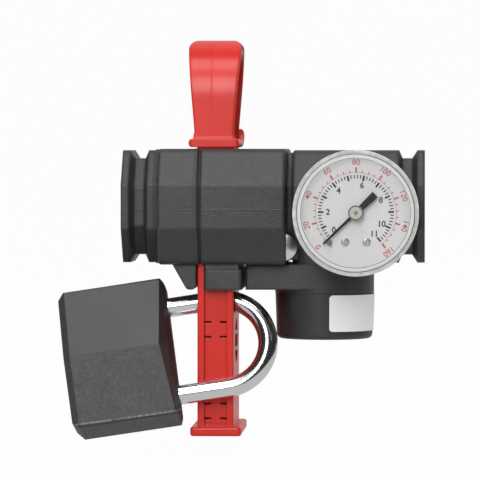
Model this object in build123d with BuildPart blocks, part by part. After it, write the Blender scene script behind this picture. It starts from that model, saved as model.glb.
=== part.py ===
"""Modular lock-out slide valve with a soft-start section, a pressure gauge and a padlock through the slide.

Millimetres. X runs along the air flow from the inlet face, Z is up, and the front of the valve faces -Y.
The origin is the centre of the inlet port's face.
"""

import math
import os

from build123d import *

os.makedirs("parts", exist_ok=True)

# ---------------------------------------------------------------- driving dimensions

BODY_LENGTH = 98.0  # port face to port face
FLANGE_HEIGHT = 36.5
FLANGE_DEPTH = 42.0
FLANGE_TOP_FLAT = 23.0
FLANGE_FRONT_FLAT = 14.4
BLOCK_RISE = 0.45  # the block stands this much above and below the flanges
BLOCK_DEPTH = 55.0
BLOCK_TOP_FLAT = 43.6
BLOCK_FRONT_FLAT = 14.0
TOP_CORNER = 3.6  # cast corners beside the top and bottom flats
FRONT_CORNER = 1.0
LEAST_CORNER = 0.4
END_ROUND = 1.0
PORT_RADIUS = 9.3  # tapping size of a half-inch pipe thread
PORT_DEPTH = 14.0
BORE_RADIUS = 7.5

RIM_LENGTH = 2.4  # dovetail that a joining clamp grips
RIM_SLANT = 1.7
GROOVE_LENGTH = 3.2
GROOVE_DEPTH = 2.65
COLLAR_SLANT = 1.1
SLEEVE_START = 12.1
BEAD_LENGTH = 1.0
BEAD_GAP = 0.4
BEAD_HEIGHT = 0.3
SEAM_DEPTH = 0.8

SLIDE_LEFT = 24.6  # left face of the red slide
SLIDE_THICKNESS = 11.7
SLIDE_DEPTH = 36.0
SLIDE_CLEARANCE = 0.3
POCKET_SIDE_GAP = 0.2
SLIDE_STROKE = 44.0
FACE_WALL = 2.2  # side plates of the slide
WEB_RECESS = 1.6
FOOT_THICKNESS = 3.0
FOOT_GAP = 0.4  # foot below the skirt when the slide is fully up
FOOT_LEFT_LEDGE = 2.3
FOOT_RIGHT_LEDGE = 2.5
FOOT_FRONT_LEDGE = 1.5
HANDLE_GAP = 0.5  # handle plate above the block when the slide is down
SLIDE_SINK = 0.3  # play of the slide below its rest
SINK_GAP = 0.05  # handle plate above the seam's bead when the slide has sunk
HANDLE_PLATE = 2.7
HANDLE_WIDTH = 16.3
LOOP_RADIUS = 18.0
LOOP_STRAP = 4.2
LOOP_BASE_WIDTH = 12.0
LOOP_TOP_WIDTH = 17.6
LOOP_GROOVE = 1.1
LOOP_SHIFT = 0.5  # the loop stands a little left of the slide's middle
LOOP_RISE = 14.2  # centre of the loop's arch above its plate
LOCK_HOLE_RADIUS = 4.25
LOCK_HOLE_FRONT = 11.5  # lock hole in front of the flow axis
LOCK_HOLE_DROP = 30.7  # lock hole below the flow axis

SKIRT_BOTTOM = 26.8
SKIRT_DEPTH = 42.6
BLOCK_END = 53.4
SEAM_WIDTH = 1.0
LEDGE_START = 40.1
LEDGE_GAP = 1.1
SECTION_START = 55.2

BOSS_X = 65.25
BOSS_RADIUS = 16.2
BOSS_BOTTOM = 28.3
CHAMBER_RADIUS = 10.5
GALLERY_RADIUS = 6.5
GALLERY_TOP = 5.0
SEAT_DROP = 10.0
CAP_BOTTOM = 43.2
CAP_TAPER = 0.5
POPPET_TRAVEL = 3.0

THROTTLE_X = 52.4
THROTTLE_DROP = 13.0
THROTTLE_HEAD = 4.4

GAUGE_X = 76.2
GAUGE_DROP = 1.6
GAUGE_RADIUS = 20.0
HEX_LENGTH = 3.4  # hexagon between the valve and the back of the gauge's case
DIAL_RADIUS = 17.9
POINTER_SWEEP = 270.0
POINTER_REST = 223.5  # pointer against its stop pin, anticlockwise from the right
PINION_RADIUS = 1.5
SECTOR_RATIO = 6

SHACKLE_RADIUS = 3.15
LEG_SPACING = 29.8
LEG_TILT = 8.7  # legs rise to the right
LEG_ABOVE_HOLE = 0.1  # toe leg above the middle of the lock hole
LEG_OFF_SLIDE = 0.35  # heel leg in front of the slide's front face
LOCK_LENGTH = 35.0
LOCK_WIDTH = 45.9
LOCK_EDGE_THICKNESS = 15.6
LOCK_RIDGE_THICKNESS = 24.0
SHACKLE_SHOW = 15.75  # straight leg between the bow and the lock body
BALL_RADIUS = 3.4
BALL_THROW = 1.0
RUN_GAP = 0.1  # running clearance of a pin or plug

# ---------------------------------------------------------------- worked-out places

flange_half = FLANGE_HEIGHT / 2
block_half = flange_half + BLOCK_RISE
block_height = 2 * block_half
slide_right = SLIDE_LEFT + SLIDE_THICKNESS
slide_mid = SLIDE_LEFT + SLIDE_THICKNESS / 2
slide_front = SLIDE_DEPTH / 2
pocket_left = SLIDE_LEFT - SLIDE_CLEARANCE
pocket_right = slide_right + SLIDE_CLEARANCE
pocket_front = slide_front + POCKET_SIDE_GAP
foot_top = SKIRT_BOTTOM + SLIDE_STROKE + FOOT_GAP
handle_bottom = block_half + HANDLE_GAP
handle_top = handle_bottom + HANDLE_PLATE
seam_bead = HANDLE_GAP - SLIDE_SINK - SINK_GAP
seam_start = SLIDE_LEFT + 0.5
seam_end = seam_start + SEAM_WIDTH
skirt_left = SLIDE_LEFT + FACE_WALL + 0.25
skirt_right = LEDGE_START - LEDGE_GAP
flange_front = FLANGE_DEPTH / 2
block_front = BLOCK_DEPTH / 2
gauge_back = flange_front + HEX_LENGTH


# ---------------------------------------------------------------- shared profiles


def octagon(x, depth, height, top_flat, front_flat, grow):
    """A stretched octagon with eased corners across the flow at x, grown or shrunk by an even margin."""
    plane = Plane(origin=(x, 0, 0), x_dir=(0, 1, 0), z_dir=(1, 0, 0))
    quarter = [(depth / 2, front_flat / 2), (top_flat / 2, height / 2)]
    upper = quarter + [(-y, z) for y, z in reversed(quarter)]
    outline = upper + [(-y, -z) for y, z in upper]
    with BuildSketch(plane) as profile:
        Polygon(*outline, align=None)
        if grow:
            offset(amount=grow, kind=Kind.INTERSECTION)
        high_and_low = vertices().filter_by(lambda v: abs(v.Y) > front_flat)
        fillet(high_and_low, radius=max(TOP_CORNER + grow, LEAST_CORNER))
        front_and_back = vertices().filter_by(lambda v: abs(v.Y) < front_flat)
        fillet(front_and_back, radius=max(FRONT_CORNER + grow, LEAST_CORNER))
    return profile.sketch


def flange_octagon(x, grow=0.0):
    """The section of the port flanges and of the soft-start block."""
    return octagon(x, FLANGE_DEPTH, FLANGE_HEIGHT, FLANGE_TOP_FLAT, FLANGE_FRONT_FLAT, grow)


def block_octagon(x, grow=0.0):
    """The section of the larger block that guides the slide."""
    return octagon(x, BLOCK_DEPTH, block_height, BLOCK_TOP_FLAT, BLOCK_FRONT_FLAT, grow)


def slope(start, end):
    """The straight-sided solid between two sections."""
    with BuildPart() as ramp:
        loft(sections=[start.face(), end.face()], ruled=True)
    return ramp.part


def disc(plane, radius, inner=0.0):
    """A disc or a ring on a plane."""
    with BuildSketch(plane) as profile:
        Circle(radius)
        if inner:
            Circle(inner, mode=Mode.SUBTRACT)
    return profile.sketch


def along_flow(x, z=0.0, y=0.0):
    """A plane across the flow, facing the outlet."""
    return Plane(origin=(x, y, z), x_dir=(0, 1, 0), z_dir=(1, 0, 0))


def level(z, x=0.0, y=0.0):
    """A level plane facing up."""
    return Plane(origin=(x, y, z), x_dir=(1, 0, 0), z_dir=(0, 0, 1))


def toward_front(distance, x, z):
    """A plane that faces the front of the valve, at a distance in front of the flow axis."""
    return Plane(origin=(x, -distance, z), x_dir=(1, 0, 0), z_dir=(0, -1, 0))


def gauge_plane(distance, x=0.0, z=0.0):
    """A plane across the gauge's axis, at a distance in front of the flow axis."""
    return toward_front(distance, GAUGE_X + x, z - GAUGE_DROP)


# ---------------------------------------------------------------- inlet half

groove_start = RIM_LENGTH + RIM_SLANT
groove_end = groove_start + GROOVE_LENGTH
collar_start = groove_end + COLLAR_SLANT
BRACKET_TOP_LEFT = 16.6
BRACKET_FOOT_LEFT = 21.2
BRACKET_DEPTH = 38.0
BRACKET_CORNER = 1.6
BODY_SCREW_Y = 24.2
BODY_SCREW_Z = 4.5
BODY_SCREW_RADIUS = 1.5
BODY_SCREW_HEAD = 2.6
BODY_SCREW_HEAD_DEPTH = 2.6
BODY_SCREW_END = 46.0
SEAL_INNER = 8.7
SEAL_OUTER = 11.2
SEAL_GROOVE = 1.6
SEAL_EASE = 0.05  # seals in their grooves
SEAL_PROUD = 0.1
HEAD_SUNK = 0.2  # screw heads below the face
SOCKET_DEPTH = 0.6  # of the head's depth
DRIVE_SIZE = 2.5

screw_spots = [(y, z) for y in (-BODY_SCREW_Y, BODY_SCREW_Y) for z in (-BODY_SCREW_Z, BODY_SCREW_Z)]

with BuildPart() as inlet_body:
    extrude(block_octagon(SLEEVE_START), amount=seam_start - SLEEVE_START)
    fillet(edges().group_by(Axis.X)[0], radius=END_ROUND)
    extrude(flange_octagon(0), amount=RIM_LENGTH)
    add(slope(flange_octagon(RIM_LENGTH), flange_octagon(groove_start, -GROOVE_DEPTH)))
    extrude(flange_octagon(RIM_LENGTH, -GROOVE_DEPTH), amount=collar_start - RIM_LENGTH)
    add(slope(flange_octagon(groove_end, -GROOVE_DEPTH), flange_octagon(collar_start)))
    extrude(flange_octagon(collar_start), amount=SLEEVE_START + END_ROUND - collar_start)
    extrude(
        flange_octagon(SLEEVE_START - BEAD_LENGTH - BEAD_GAP, BEAD_HEIGHT),
        amount=BEAD_LENGTH,
    )
    extrude(block_octagon(seam_start, -SEAM_DEPTH), amount=SEAM_WIDTH)
    extrude(block_octagon(seam_start - SEAM_WIDTH, seam_bead), amount=SEAM_WIDTH)
    # bracket that backs the slide below the body
    with BuildSketch(Plane.XZ) as bracket:
        with BuildLine():
            Polyline(
                (BRACKET_TOP_LEFT, -block_half + 0.5),
                (BRACKET_TOP_LEFT, -block_half),
                (BRACKET_FOOT_LEFT, -SKIRT_BOTTOM),
                (pocket_left, -SKIRT_BOTTOM),
                (pocket_left, -block_half + 0.5),
                close=True,
            )
        make_face()
        feet = vertices().group_by(Axis.Y)[0]
        fillet(feet, radius=BRACKET_CORNER)
    extrude(bracket.sketch, amount=BRACKET_DEPTH / 2, both=True)
    # slide pocket, bores and seal groove
    with BuildSketch(level(0)) as pocket_plan:
        with Locations(((pocket_left + pocket_right) / 2, 0)):
            Rectangle(pocket_right - pocket_left, 2 * pocket_front)
    extrude(pocket_plan.sketch, amount=SKIRT_BOTTOM + 5, both=True, mode=Mode.SUBTRACT)
    extrude(disc(along_flow(0), PORT_RADIUS), amount=PORT_DEPTH, mode=Mode.SUBTRACT)
    extrude(disc(along_flow(PORT_DEPTH), BORE_RADIUS), amount=SLIDE_LEFT, mode=Mode.SUBTRACT)
    extrude(
        disc(along_flow(pocket_left - SEAL_GROOVE), SEAL_OUTER, SEAL_INNER),
        amount=SEAL_GROOVE,
        mode=Mode.SUBTRACT,
    )
    for y, z in screw_spots:
        extrude(
            disc(along_flow(SLEEVE_START - 1, z, y), BODY_SCREW_RADIUS + RUN_GAP),
            amount=SLIDE_LEFT,
            mode=Mode.SUBTRACT,
        )
        extrude(
            disc(along_flow(SLEEVE_START - 1, z, y), BODY_SCREW_HEAD + RUN_GAP),
            amount=1 + BODY_SCREW_HEAD_DEPTH,
            mode=Mode.SUBTRACT,
        )
inlet_body.part.label = "inlet_body"
export_step(inlet_body.part, "parts/inlet_body.step")

# ---------------------------------------------------------------- block that guides the slide

NECK_HEIGHT = 1.5
NECK_SET_BACK = 0.8
PULL_POCKET_FRONT = 21.3
PULL_POCKET_REAR = 4.6
LUG_HALF_HEIGHT = 4.0
LUG_CLEARANCE = 0.3
LEDGE_SCREW_X = 46.6
LEDGE_SCREW_Y = 10.5
LEDGE_SCREW_RADIUS = 1.6
LEDGE_SCREW_HEAD = 3.0
LEDGE_SCREW_HEAD_DEPTH = 3.0
LEDGE_SCREW_TOP = 11.0
head_pocket_left = THROTTLE_X - THROTTLE_HEAD - LUG_CLEARANCE

with BuildPart() as valve_block:
    extrude(block_octagon(seam_end), amount=BLOCK_END - seam_end)
    fillet(edges().group_by(Axis.X)[-1], radius=END_ROUND)
    # skirt in front of, behind and to the right of the slide
    with BuildSketch(level(-SKIRT_BOTTOM)) as skirt_plan:
        with Locations(((skirt_left + skirt_right) / 2, 0)):
            Rectangle(skirt_right - skirt_left, SKIRT_DEPTH)
    extrude(skirt_plan.sketch, amount=SKIRT_BOTTOM - block_half - NECK_HEIGHT)
    with BuildSketch(level(-block_half - NECK_HEIGHT)) as neck_plan:
        with Locations(((skirt_left + skirt_right) / 2, 0)):
            Rectangle(
                skirt_right - skirt_left - 2 * NECK_SET_BACK,
                SKIRT_DEPTH - 2 * NECK_SET_BACK,
            )
        with Locations(((skirt_left + skirt_right) / 2 - NECK_SET_BACK, 0)):
            Rectangle(skirt_right - skirt_left - 2 * NECK_SET_BACK, SKIRT_DEPTH - 2 * NECK_SET_BACK)
    extrude(neck_plan.sketch, amount=NECK_HEIGHT + 1)
    upright_edges = edges().filter_by(Axis.Z).filter_by(lambda e: e.center().Z < -block_half - NECK_HEIGHT)
    fillet(upright_edges, radius=0.8)
    extrude(pocket_plan.sketch, amount=SKIRT_BOTTOM + 5, both=True, mode=Mode.SUBTRACT)
    extrude(disc(along_flow(SLIDE_LEFT), BORE_RADIUS), amount=BODY_LENGTH, mode=Mode.SUBTRACT)
    extrude(
        disc(along_flow(pocket_right), SEAL_OUTER, SEAL_INNER),
        amount=SEAL_GROOVE,
        mode=Mode.SUBTRACT,
    )
    for y, z in screw_spots:
        extrude(
            disc(along_flow(seam_end, z, y), BODY_SCREW_RADIUS),
            amount=BODY_SCREW_END - seam_end + 1,
            mode=Mode.SUBTRACT,
        )
    # pocket over the throttle screw's head and its lug
    with BuildSketch(toward_front(PULL_POCKET_REAR, 0, 0)) as head_pocket:
        with Locations(((head_pocket_left + BLOCK_END + 1) / 2, -THROTTLE_DROP)):
            Rectangle(
                BLOCK_END + 1 - head_pocket_left,
                2 * (THROTTLE_HEAD + LUG_CLEARANCE),
            )
    extrude(
        head_pocket.sketch,
        amount=PULL_POCKET_FRONT - PULL_POCKET_REAR,
        mode=Mode.SUBTRACT,
    )
    with Locations(*[level(-block_half, LEDGE_SCREW_X, y) for y in (-LEDGE_SCREW_Y, LEDGE_SCREW_Y)]):
        Cylinder(
            LEDGE_SCREW_RADIUS,
            block_half - LEDGE_SCREW_TOP + 1,
            align=(Align.CENTER, Align.CENTER, Align.MIN),
            mode=Mode.SUBTRACT,
        )
valve_block.part.label = "valve_block"
export_step(valve_block.part, "parts/valve_block.step")

# ---------------------------------------------------------------- soft-start block with the outlet

OUTLET_CHAMBER = 74.0  # left end of the outlet bore
DOWN_PASSAGE_X = 77.5
DOWN_PASSAGE_RADIUS = 3.6
CAP_SPIGOT_RADIUS = 13.4
CAP_SPIGOT_TOP = 22.0
JOINT_SEAL_INNER = 8.6
JOINT_SEAL_OUTER = 10.6
JOINT_SEAL_GROOVE = 1.3
GAUGE_THREAD = 4.8
GAUGE_THREAD_END = 10.0
THROTTLE_LUG_FRONT = 16.8
THROTTLE_SHANK = 2.4
THROTTLE_SHANK_END = 9.0
THROTTLE_TIP = 6.2
lug_right = SECTION_START + 2
ledge_bottom = SKIRT_BOTTOM + 0.1
outlet_groove_end = BODY_LENGTH - RIM_LENGTH - RIM_SLANT
outlet_groove_start = outlet_groove_end - GROOVE_LENGTH
section_end = outlet_groove_start - COLLAR_SLANT

with BuildPart() as soft_start_body:
    extrude(flange_octagon(SECTION_START), amount=section_end - SECTION_START)
    fillet(edges().group_by(Axis.X)[0], radius=END_ROUND)
    extrude(flange_octagon(BLOCK_END, -SEAM_DEPTH), amount=SECTION_START + END_ROUND - BLOCK_END)
    add(slope(flange_octagon(section_end), flange_octagon(outlet_groove_start, -GROOVE_DEPTH)))
    extrude(
        flange_octagon(section_end, -GROOVE_DEPTH),
        amount=BODY_LENGTH - RIM_LENGTH - section_end,
    )
    add(slope(flange_octagon(outlet_groove_end, -GROOVE_DEPTH), flange_octagon(BODY_LENGTH - RIM_LENGTH)))
    extrude(flange_octagon(BODY_LENGTH - RIM_LENGTH), amount=RIM_LENGTH)
    # boss and the ledge that runs back under the valve block
    extrude(disc(level(-BOSS_BOTTOM, BOSS_X), BOSS_RADIUS), amount=BOSS_BOTTOM - ledge_bottom)
    with BuildSketch(level(-ledge_bottom)) as ledge_plan:
        with Locations(((LEDGE_START + BOSS_X) / 2, 0)):
            Rectangle(BOSS_X - LEDGE_START, 2 * BOSS_RADIUS)
        left_corners = vertices().group_by(Axis.X)[0]
        fillet(left_corners, radius=0.8)
        with Locations((BOSS_X, 0)):
            Circle(BOSS_RADIUS)
    extrude(ledge_plan.sketch, amount=ledge_bottom - block_half)
    with BuildSketch(level(-block_half)) as boss_top:
        with Locations((BOSS_X, 0)):
            Circle(BOSS_RADIUS)
        with Locations((SECTION_START - BOSS_RADIUS, 0)):
            Rectangle(2 * BOSS_RADIUS, 4 * BOSS_RADIUS, mode=Mode.SUBTRACT)
    extrude(boss_top.sketch, amount=block_half - SEAT_DROP)
    # lug that carries the throttle screw
    with BuildSketch(toward_front(THROTTLE_TIP - 1, 0, 0)) as lug_profile:
        with Locations(((THROTTLE_X + lug_right) / 2, -THROTTLE_DROP)):
            Rectangle(lug_right - THROTTLE_X, 2 * LUG_HALF_HEIGHT)
        with Locations((THROTTLE_X, -THROTTLE_DROP)):
            Circle(LUG_HALF_HEIGHT)
    extrude(lug_profile.sketch, amount=THROTTLE_LUG_FRONT - THROTTLE_TIP + 1)
    # air passages
    extrude(disc(along_flow(BLOCK_END), BORE_RADIUS), amount=BOSS_X - BLOCK_END, mode=Mode.SUBTRACT)
    extrude(
        disc(level(-BOSS_BOTTOM, BOSS_X), GALLERY_RADIUS),
        amount=BOSS_BOTTOM + GALLERY_TOP,
        mode=Mode.SUBTRACT,
    )
    extrude(
        disc(level(-BOSS_BOTTOM, BOSS_X), CHAMBER_RADIUS),
        amount=BOSS_BOTTOM - SEAT_DROP,
        mode=Mode.SUBTRACT,
    )
    extrude(
        disc(level(-BOSS_BOTTOM, BOSS_X), CAP_SPIGOT_RADIUS),
        amount=BOSS_BOTTOM - CAP_SPIGOT_TOP,
        mode=Mode.SUBTRACT,
    )
    extrude(
        disc(along_flow(OUTLET_CHAMBER), BORE_RADIUS),
        amount=BODY_LENGTH - OUTLET_CHAMBER,
        mode=Mode.SUBTRACT,
    )
    extrude(
        disc(along_flow(BODY_LENGTH - PORT_DEPTH), PORT_RADIUS),
        amount=PORT_DEPTH,
        mode=Mode.SUBTRACT,
    )
    extrude(
        disc(level(-SEAT_DROP - 5, DOWN_PASSAGE_X), DOWN_PASSAGE_RADIUS),
        amount=SEAT_DROP + 5,
        mode=Mode.SUBTRACT,
    )
    extrude(
        disc(along_flow(BLOCK_END), JOINT_SEAL_OUTER, JOINT_SEAL_INNER),
        amount=JOINT_SEAL_GROOVE,
        mode=Mode.SUBTRACT,
    )
    # gauge port, throttle bore and its cross drilling
    extrude(
        disc(gauge_plane(2), GAUGE_THREAD),
        amount=flange_front,
        mode=Mode.SUBTRACT,
    )
    extrude(
        disc(
            toward_front(THROTTLE_TIP - 1, THROTTLE_X, -THROTTLE_DROP),
            THROTTLE_SHANK + 0.05,
        ),
        amount=block_front,
        mode=Mode.SUBTRACT,
    )
    extrude(
        disc(toward_front(THROTTLE_LUG_FRONT, THROTTLE_X, -THROTTLE_DROP), THROTTLE_HEAD + LUG_CLEARANCE),
        amount=block_front,
        mode=Mode.SUBTRACT,
    )
    with Locations(*[level(-ledge_bottom, LEDGE_SCREW_X, y) for y in (-LEDGE_SCREW_Y, LEDGE_SCREW_Y)]):
        Cylinder(
            LEDGE_SCREW_RADIUS + RUN_GAP,
            SKIRT_BOTTOM,
            align=(Align.CENTER, Align.CENTER, Align.MIN),
            mode=Mode.SUBTRACT,
        )
        Cylinder(
            LEDGE_SCREW_HEAD + RUN_GAP,
            LEDGE_SCREW_HEAD_DEPTH,
            align=(Align.CENTER, Align.CENTER, Align.MIN),
            mode=Mode.SUBTRACT,
        )
soft_start_body.part.label = "soft_start_body"
export_step(soft_start_body.part, "parts/soft_start_body.step")

# ---------------------------------------------------------------- screws and flat seals of the body


def socket_screw(plane, head_radius, head_depth, shank_radius, length, socket):
    """A cap screw whose head's outer face lies on the plane, pointing along the plane's normal."""
    with BuildPart() as screw:
        extrude(disc(plane, head_radius), amount=head_depth)
        extrude(disc(plane, shank_radius), amount=length)
        with BuildSketch(plane) as drive:
            RegularPolygon(socket / 2, 6, major_radius=False)
        extrude(drive.sketch, amount=head_depth * SOCKET_DEPTH, mode=Mode.SUBTRACT)
    return screw.part


body_screw_list = [
    socket_screw(
        along_flow(SLEEVE_START + HEAD_SUNK, z, y),
        BODY_SCREW_HEAD,
        BODY_SCREW_HEAD_DEPTH - HEAD_SUNK,
        BODY_SCREW_RADIUS,
        BODY_SCREW_END - SLEEVE_START,
        DRIVE_SIZE,
    )
    for y, z in screw_spots
]
body_screws = Compound(children=body_screw_list, label="body_screws")
export_step(body_screws, "parts/body_screws.step")

ledge_screw_list = [
    socket_screw(
        level(-ledge_bottom + HEAD_SUNK, LEDGE_SCREW_X, y),
        LEDGE_SCREW_HEAD,
        LEDGE_SCREW_HEAD_DEPTH - HEAD_SUNK,
        LEDGE_SCREW_RADIUS,
        ledge_bottom - LEDGE_SCREW_TOP,
        DRIVE_SIZE,
    )
    for y in (-LEDGE_SCREW_Y, LEDGE_SCREW_Y)
]
ledge_screws = Compound(children=ledge_screw_list, label="ledge_screws")
export_step(ledge_screws, "parts/ledge_screws.step")

face_seal_thickness = SEAL_GROOVE + SLIDE_CLEARANCE - SEAL_PROUD

with BuildPart() as slide_seals:
    for start in (pocket_left - SEAL_GROOVE, pocket_right + SEAL_GROOVE - face_seal_thickness):
        ring = disc(along_flow(start), SEAL_OUTER - SEAL_EASE, SEAL_INNER + SEAL_EASE)
        extrude(ring, amount=face_seal_thickness)
slide_seals.part.label = "slide_seals"
export_step(slide_seals.part, "parts/slide_seals.step")

with BuildPart() as joint_seal:
    extrude(
        disc(along_flow(BLOCK_END), JOINT_SEAL_OUTER - SEAL_EASE, JOINT_SEAL_INNER + SEAL_EASE),
        amount=JOINT_SEAL_GROOVE,
    )
joint_seal.part.label = "joint_seal"
export_step(joint_seal.part, "parts/joint_seal.step")

# ---------------------------------------------------------------- the red slide

WINDOW_RIB = 1.1
VENT_RADIUS = 3.0
NOTCH_WIDTH = 2.2
NOTCH_HEIGHT = 0.6
NOTCH_DEPTH = 2.4
RECESS_TOP = 8.0
RECESS_BOTTOM = 0.4  # web recess above the foot
notch_heights = (37.4, 42.2, 63.8, 68.6)
FOOT_CORNER = 1.2
FOOT_EASE = 0.8
PLATE_CORNER = 1.2
PLATE_LIP = 0.8
CREST_ROUND = 3.0
BASE_FLARE = 1.0
BASE_FLARE_HEIGHT = 4.0
PLATE_BACK_REACH = 19.5
PLATE_FLAT_END = 12.0
PLATE_CURL_RADIUS = 10.0
loop_centre = handle_top + LOOP_RISE
loop_inner = LOOP_RADIUS - LOOP_STRAP
rib_place = BORE_RADIUS / 3 + WINDOW_RIB / 6


def arch(x, outer, inner):
    """The handle loop's outline, from the plate up, seen along the flow."""
    with BuildSketch(along_flow(x)) as profile:
        with Locations((0, loop_centre)):
            Circle(outer)
        with Locations((0, (handle_top + loop_centre) / 2)):
            Rectangle(2 * outer, loop_centre - handle_top)
        with Locations((0, loop_centre)):
            Circle(inner, mode=Mode.SUBTRACT)
        with Locations((0, (handle_top + loop_centre) / 2)):
            Rectangle(2 * inner, loop_centre - handle_top, mode=Mode.SUBTRACT)
        with Locations((0, handle_top - LOOP_RADIUS)):
            Rectangle(4 * outer, 2 * LOOP_RADIUS, mode=Mode.SUBTRACT)
    return profile.sketch


def loop_front(inset):
    """The handle loop's outline seen from the front: wider at the top, less an even inset."""
    crest = loop_centre + LOOP_RADIUS
    with BuildSketch(toward_front(2 * LOOP_RADIUS, slide_mid - LOOP_SHIFT, 0)) as profile:
        Polygon(
            (-LOOP_BASE_WIDTH / 2 + inset, handle_top - 1),
            (LOOP_BASE_WIDTH / 2 - inset, handle_top - 1),
            (LOOP_TOP_WIDTH / 2 - inset, crest),
            (-LOOP_TOP_WIDTH / 2 + inset, crest),
            align=None,
        )
        Polygon(
            (-LOOP_BASE_WIDTH / 2 - BASE_FLARE + inset, handle_top - 1),
            (LOOP_BASE_WIDTH / 2 + BASE_FLARE - inset, handle_top - 1),
            (LOOP_BASE_WIDTH / 2 - inset, handle_top + BASE_FLARE_HEIGHT),
            (-LOOP_BASE_WIDTH / 2 + inset, handle_top + BASE_FLARE_HEIGHT),
            align=None,
        )
        crest_corners = vertices().group_by(Axis.Y)[-1]
        fillet(crest_corners, radius=CREST_ROUND)
    return profile.sketch


def loop_part(outer, inner, inset):
    """An arch of the handle, tapered from the top to the plate."""
    with BuildPart() as strap:
        extrude(arch(slide_mid - LOOP_TOP_WIDTH, outer, inner), amount=2 * LOOP_TOP_WIDTH)
        extrude(loop_front(inset), amount=-4 * LOOP_RADIUS, mode=Mode.INTERSECT)
    return strap.part


rim_outer = loop_part(LOOP_RADIUS, LOOP_RADIUS - LOOP_GROOVE, 0)
rim_inner = loop_part(loop_inner + LOOP_GROOVE, loop_inner, 0)
loop_core = loop_part(LOOP_RADIUS, loop_inner, LOOP_GROOVE)

curl_rise = PLATE_CURL_RADIUS - math.sqrt(PLATE_CURL_RADIUS**2 - (PLATE_BACK_REACH - PLATE_FLAT_END) ** 2)
with BuildPart() as handle_plate:
    with BuildSketch(along_flow(slide_mid - LOOP_SHIFT - HANDLE_WIDTH / 2)) as plate_side:
        with BuildLine():
            Line((-PLATE_BACK_REACH, handle_bottom), (PLATE_FLAT_END, handle_bottom))
            RadiusArc(
                (PLATE_FLAT_END, handle_bottom),
                (PLATE_BACK_REACH, handle_bottom + curl_rise),
                -PLATE_CURL_RADIUS,
            )
            Line(
                (PLATE_BACK_REACH, handle_bottom + curl_rise),
                (PLATE_BACK_REACH - PLATE_LIP, handle_top + curl_rise),
            )
            RadiusArc(
                (PLATE_BACK_REACH - PLATE_LIP, handle_top + curl_rise),
                (PLATE_FLAT_END, handle_top),
                PLATE_CURL_RADIUS,
            )
            Line((PLATE_FLAT_END, handle_top), (-PLATE_BACK_REACH, handle_top))
            Line((-PLATE_BACK_REACH, handle_top), (-PLATE_BACK_REACH, handle_bottom))
        make_face()
    extrude(plate_side.sketch, amount=HANDLE_WIDTH)
    side_edges = edges().group_by(Axis.X)
    fillet(side_edges[0] + side_edges[-1], radius=PLATE_CORNER)

# foot that stops the slide at the top of its stroke
with BuildPart() as slide_foot:
    with BuildSketch(level(-foot_top - FOOT_THICKNESS)) as foot_plan:
        with Locations((slide_mid + (FOOT_RIGHT_LEDGE - FOOT_LEFT_LEDGE) / 2, 0)):
            Rectangle(
                SLIDE_THICKNESS + FOOT_LEFT_LEDGE + FOOT_RIGHT_LEDGE,
                SLIDE_DEPTH + 2 * FOOT_FRONT_LEDGE,
            )
        fillet(vertices(), radius=FOOT_CORNER)
    extrude(foot_plan.sketch, amount=FOOT_THICKNESS)
    foot_rims = edges().group_by(Axis.Z)
    fillet(foot_rims[0] + foot_rims[-1], radius=FOOT_EASE)

with BuildPart() as lockout_slide:
    with BuildSketch(level(-foot_top)) as slide_plan:
        with Locations((slide_mid, 0)):
            Rectangle(SLIDE_THICKNESS, SLIDE_DEPTH)
        fillet(vertices(), radius=0.5)
    extrude(slide_plan.sketch, amount=foot_top + handle_bottom)
    # recessed web between the side plates, front and back
    for side in (1, -1):
        web_plane = Plane(
            origin=(slide_mid, -side * (slide_front - WEB_RECESS), 0),
            x_dir=(side, 0, 0),
            z_dir=(0, -side, 0),
        )
        with BuildSketch(web_plane) as recess:
            with Locations((0, (RECESS_TOP - foot_top + RECESS_BOTTOM) / 2)):
                Rectangle(SLIDE_THICKNESS - 2 * FACE_WALL, RECESS_TOP + foot_top - RECESS_BOTTOM)
        extrude(recess.sketch, amount=WEB_RECESS + 1, mode=Mode.SUBTRACT)
        with BuildSketch(web_plane) as notches:
            reach = SLIDE_THICKNESS / 2 - FACE_WALL - NOTCH_WIDTH / 2
            for drop in notch_heights:
                with Locations((-reach, -drop), (reach, -drop)):
                    Rectangle(NOTCH_WIDTH, NOTCH_HEIGHT)
        extrude(notches.sketch, amount=-NOTCH_DEPTH, mode=Mode.SUBTRACT)
    # foot, handle plate and finger loop
    add(slide_foot.part)
    add(handle_plate.part)
    add(loop_core)
    add(rim_outer)
    add(rim_inner)
    # flow window of three slots
    with BuildSketch(along_flow(SLIDE_LEFT - 1, -SLIDE_STROKE)) as window:
        Circle(BORE_RADIUS)
        with Locations((0, -rib_place), (0, rib_place)):
            Rectangle(2 * BORE_RADIUS, WINDOW_RIB, mode=Mode.SUBTRACT)
    extrude(window.sketch, amount=SLIDE_THICKNESS + 2, mode=Mode.SUBTRACT)
    # lock hole
    extrude(
        disc(along_flow(SLIDE_LEFT - 1, -LOCK_HOLE_DROP, -LOCK_HOLE_FRONT), LOCK_HOLE_RADIUS),
        amount=SLIDE_THICKNESS + 2,
        mode=Mode.SUBTRACT,
    )
    # vent that empties the line while the slide is down
    extrude(disc(along_flow(slide_mid), VENT_RADIUS), amount=SLIDE_THICKNESS, mode=Mode.SUBTRACT)
    extrude(
        disc(toward_front(0, slide_mid, 0), VENT_RADIUS * 0.8),
        amount=SLIDE_DEPTH,
        mode=Mode.SUBTRACT,
    )
lockout_slide.part.label = "lockout_slide"
export_step(lockout_slide.part, "parts/lockout_slide.step")

# ---------------------------------------------------------------- cap, label and soft-start poppet

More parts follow.
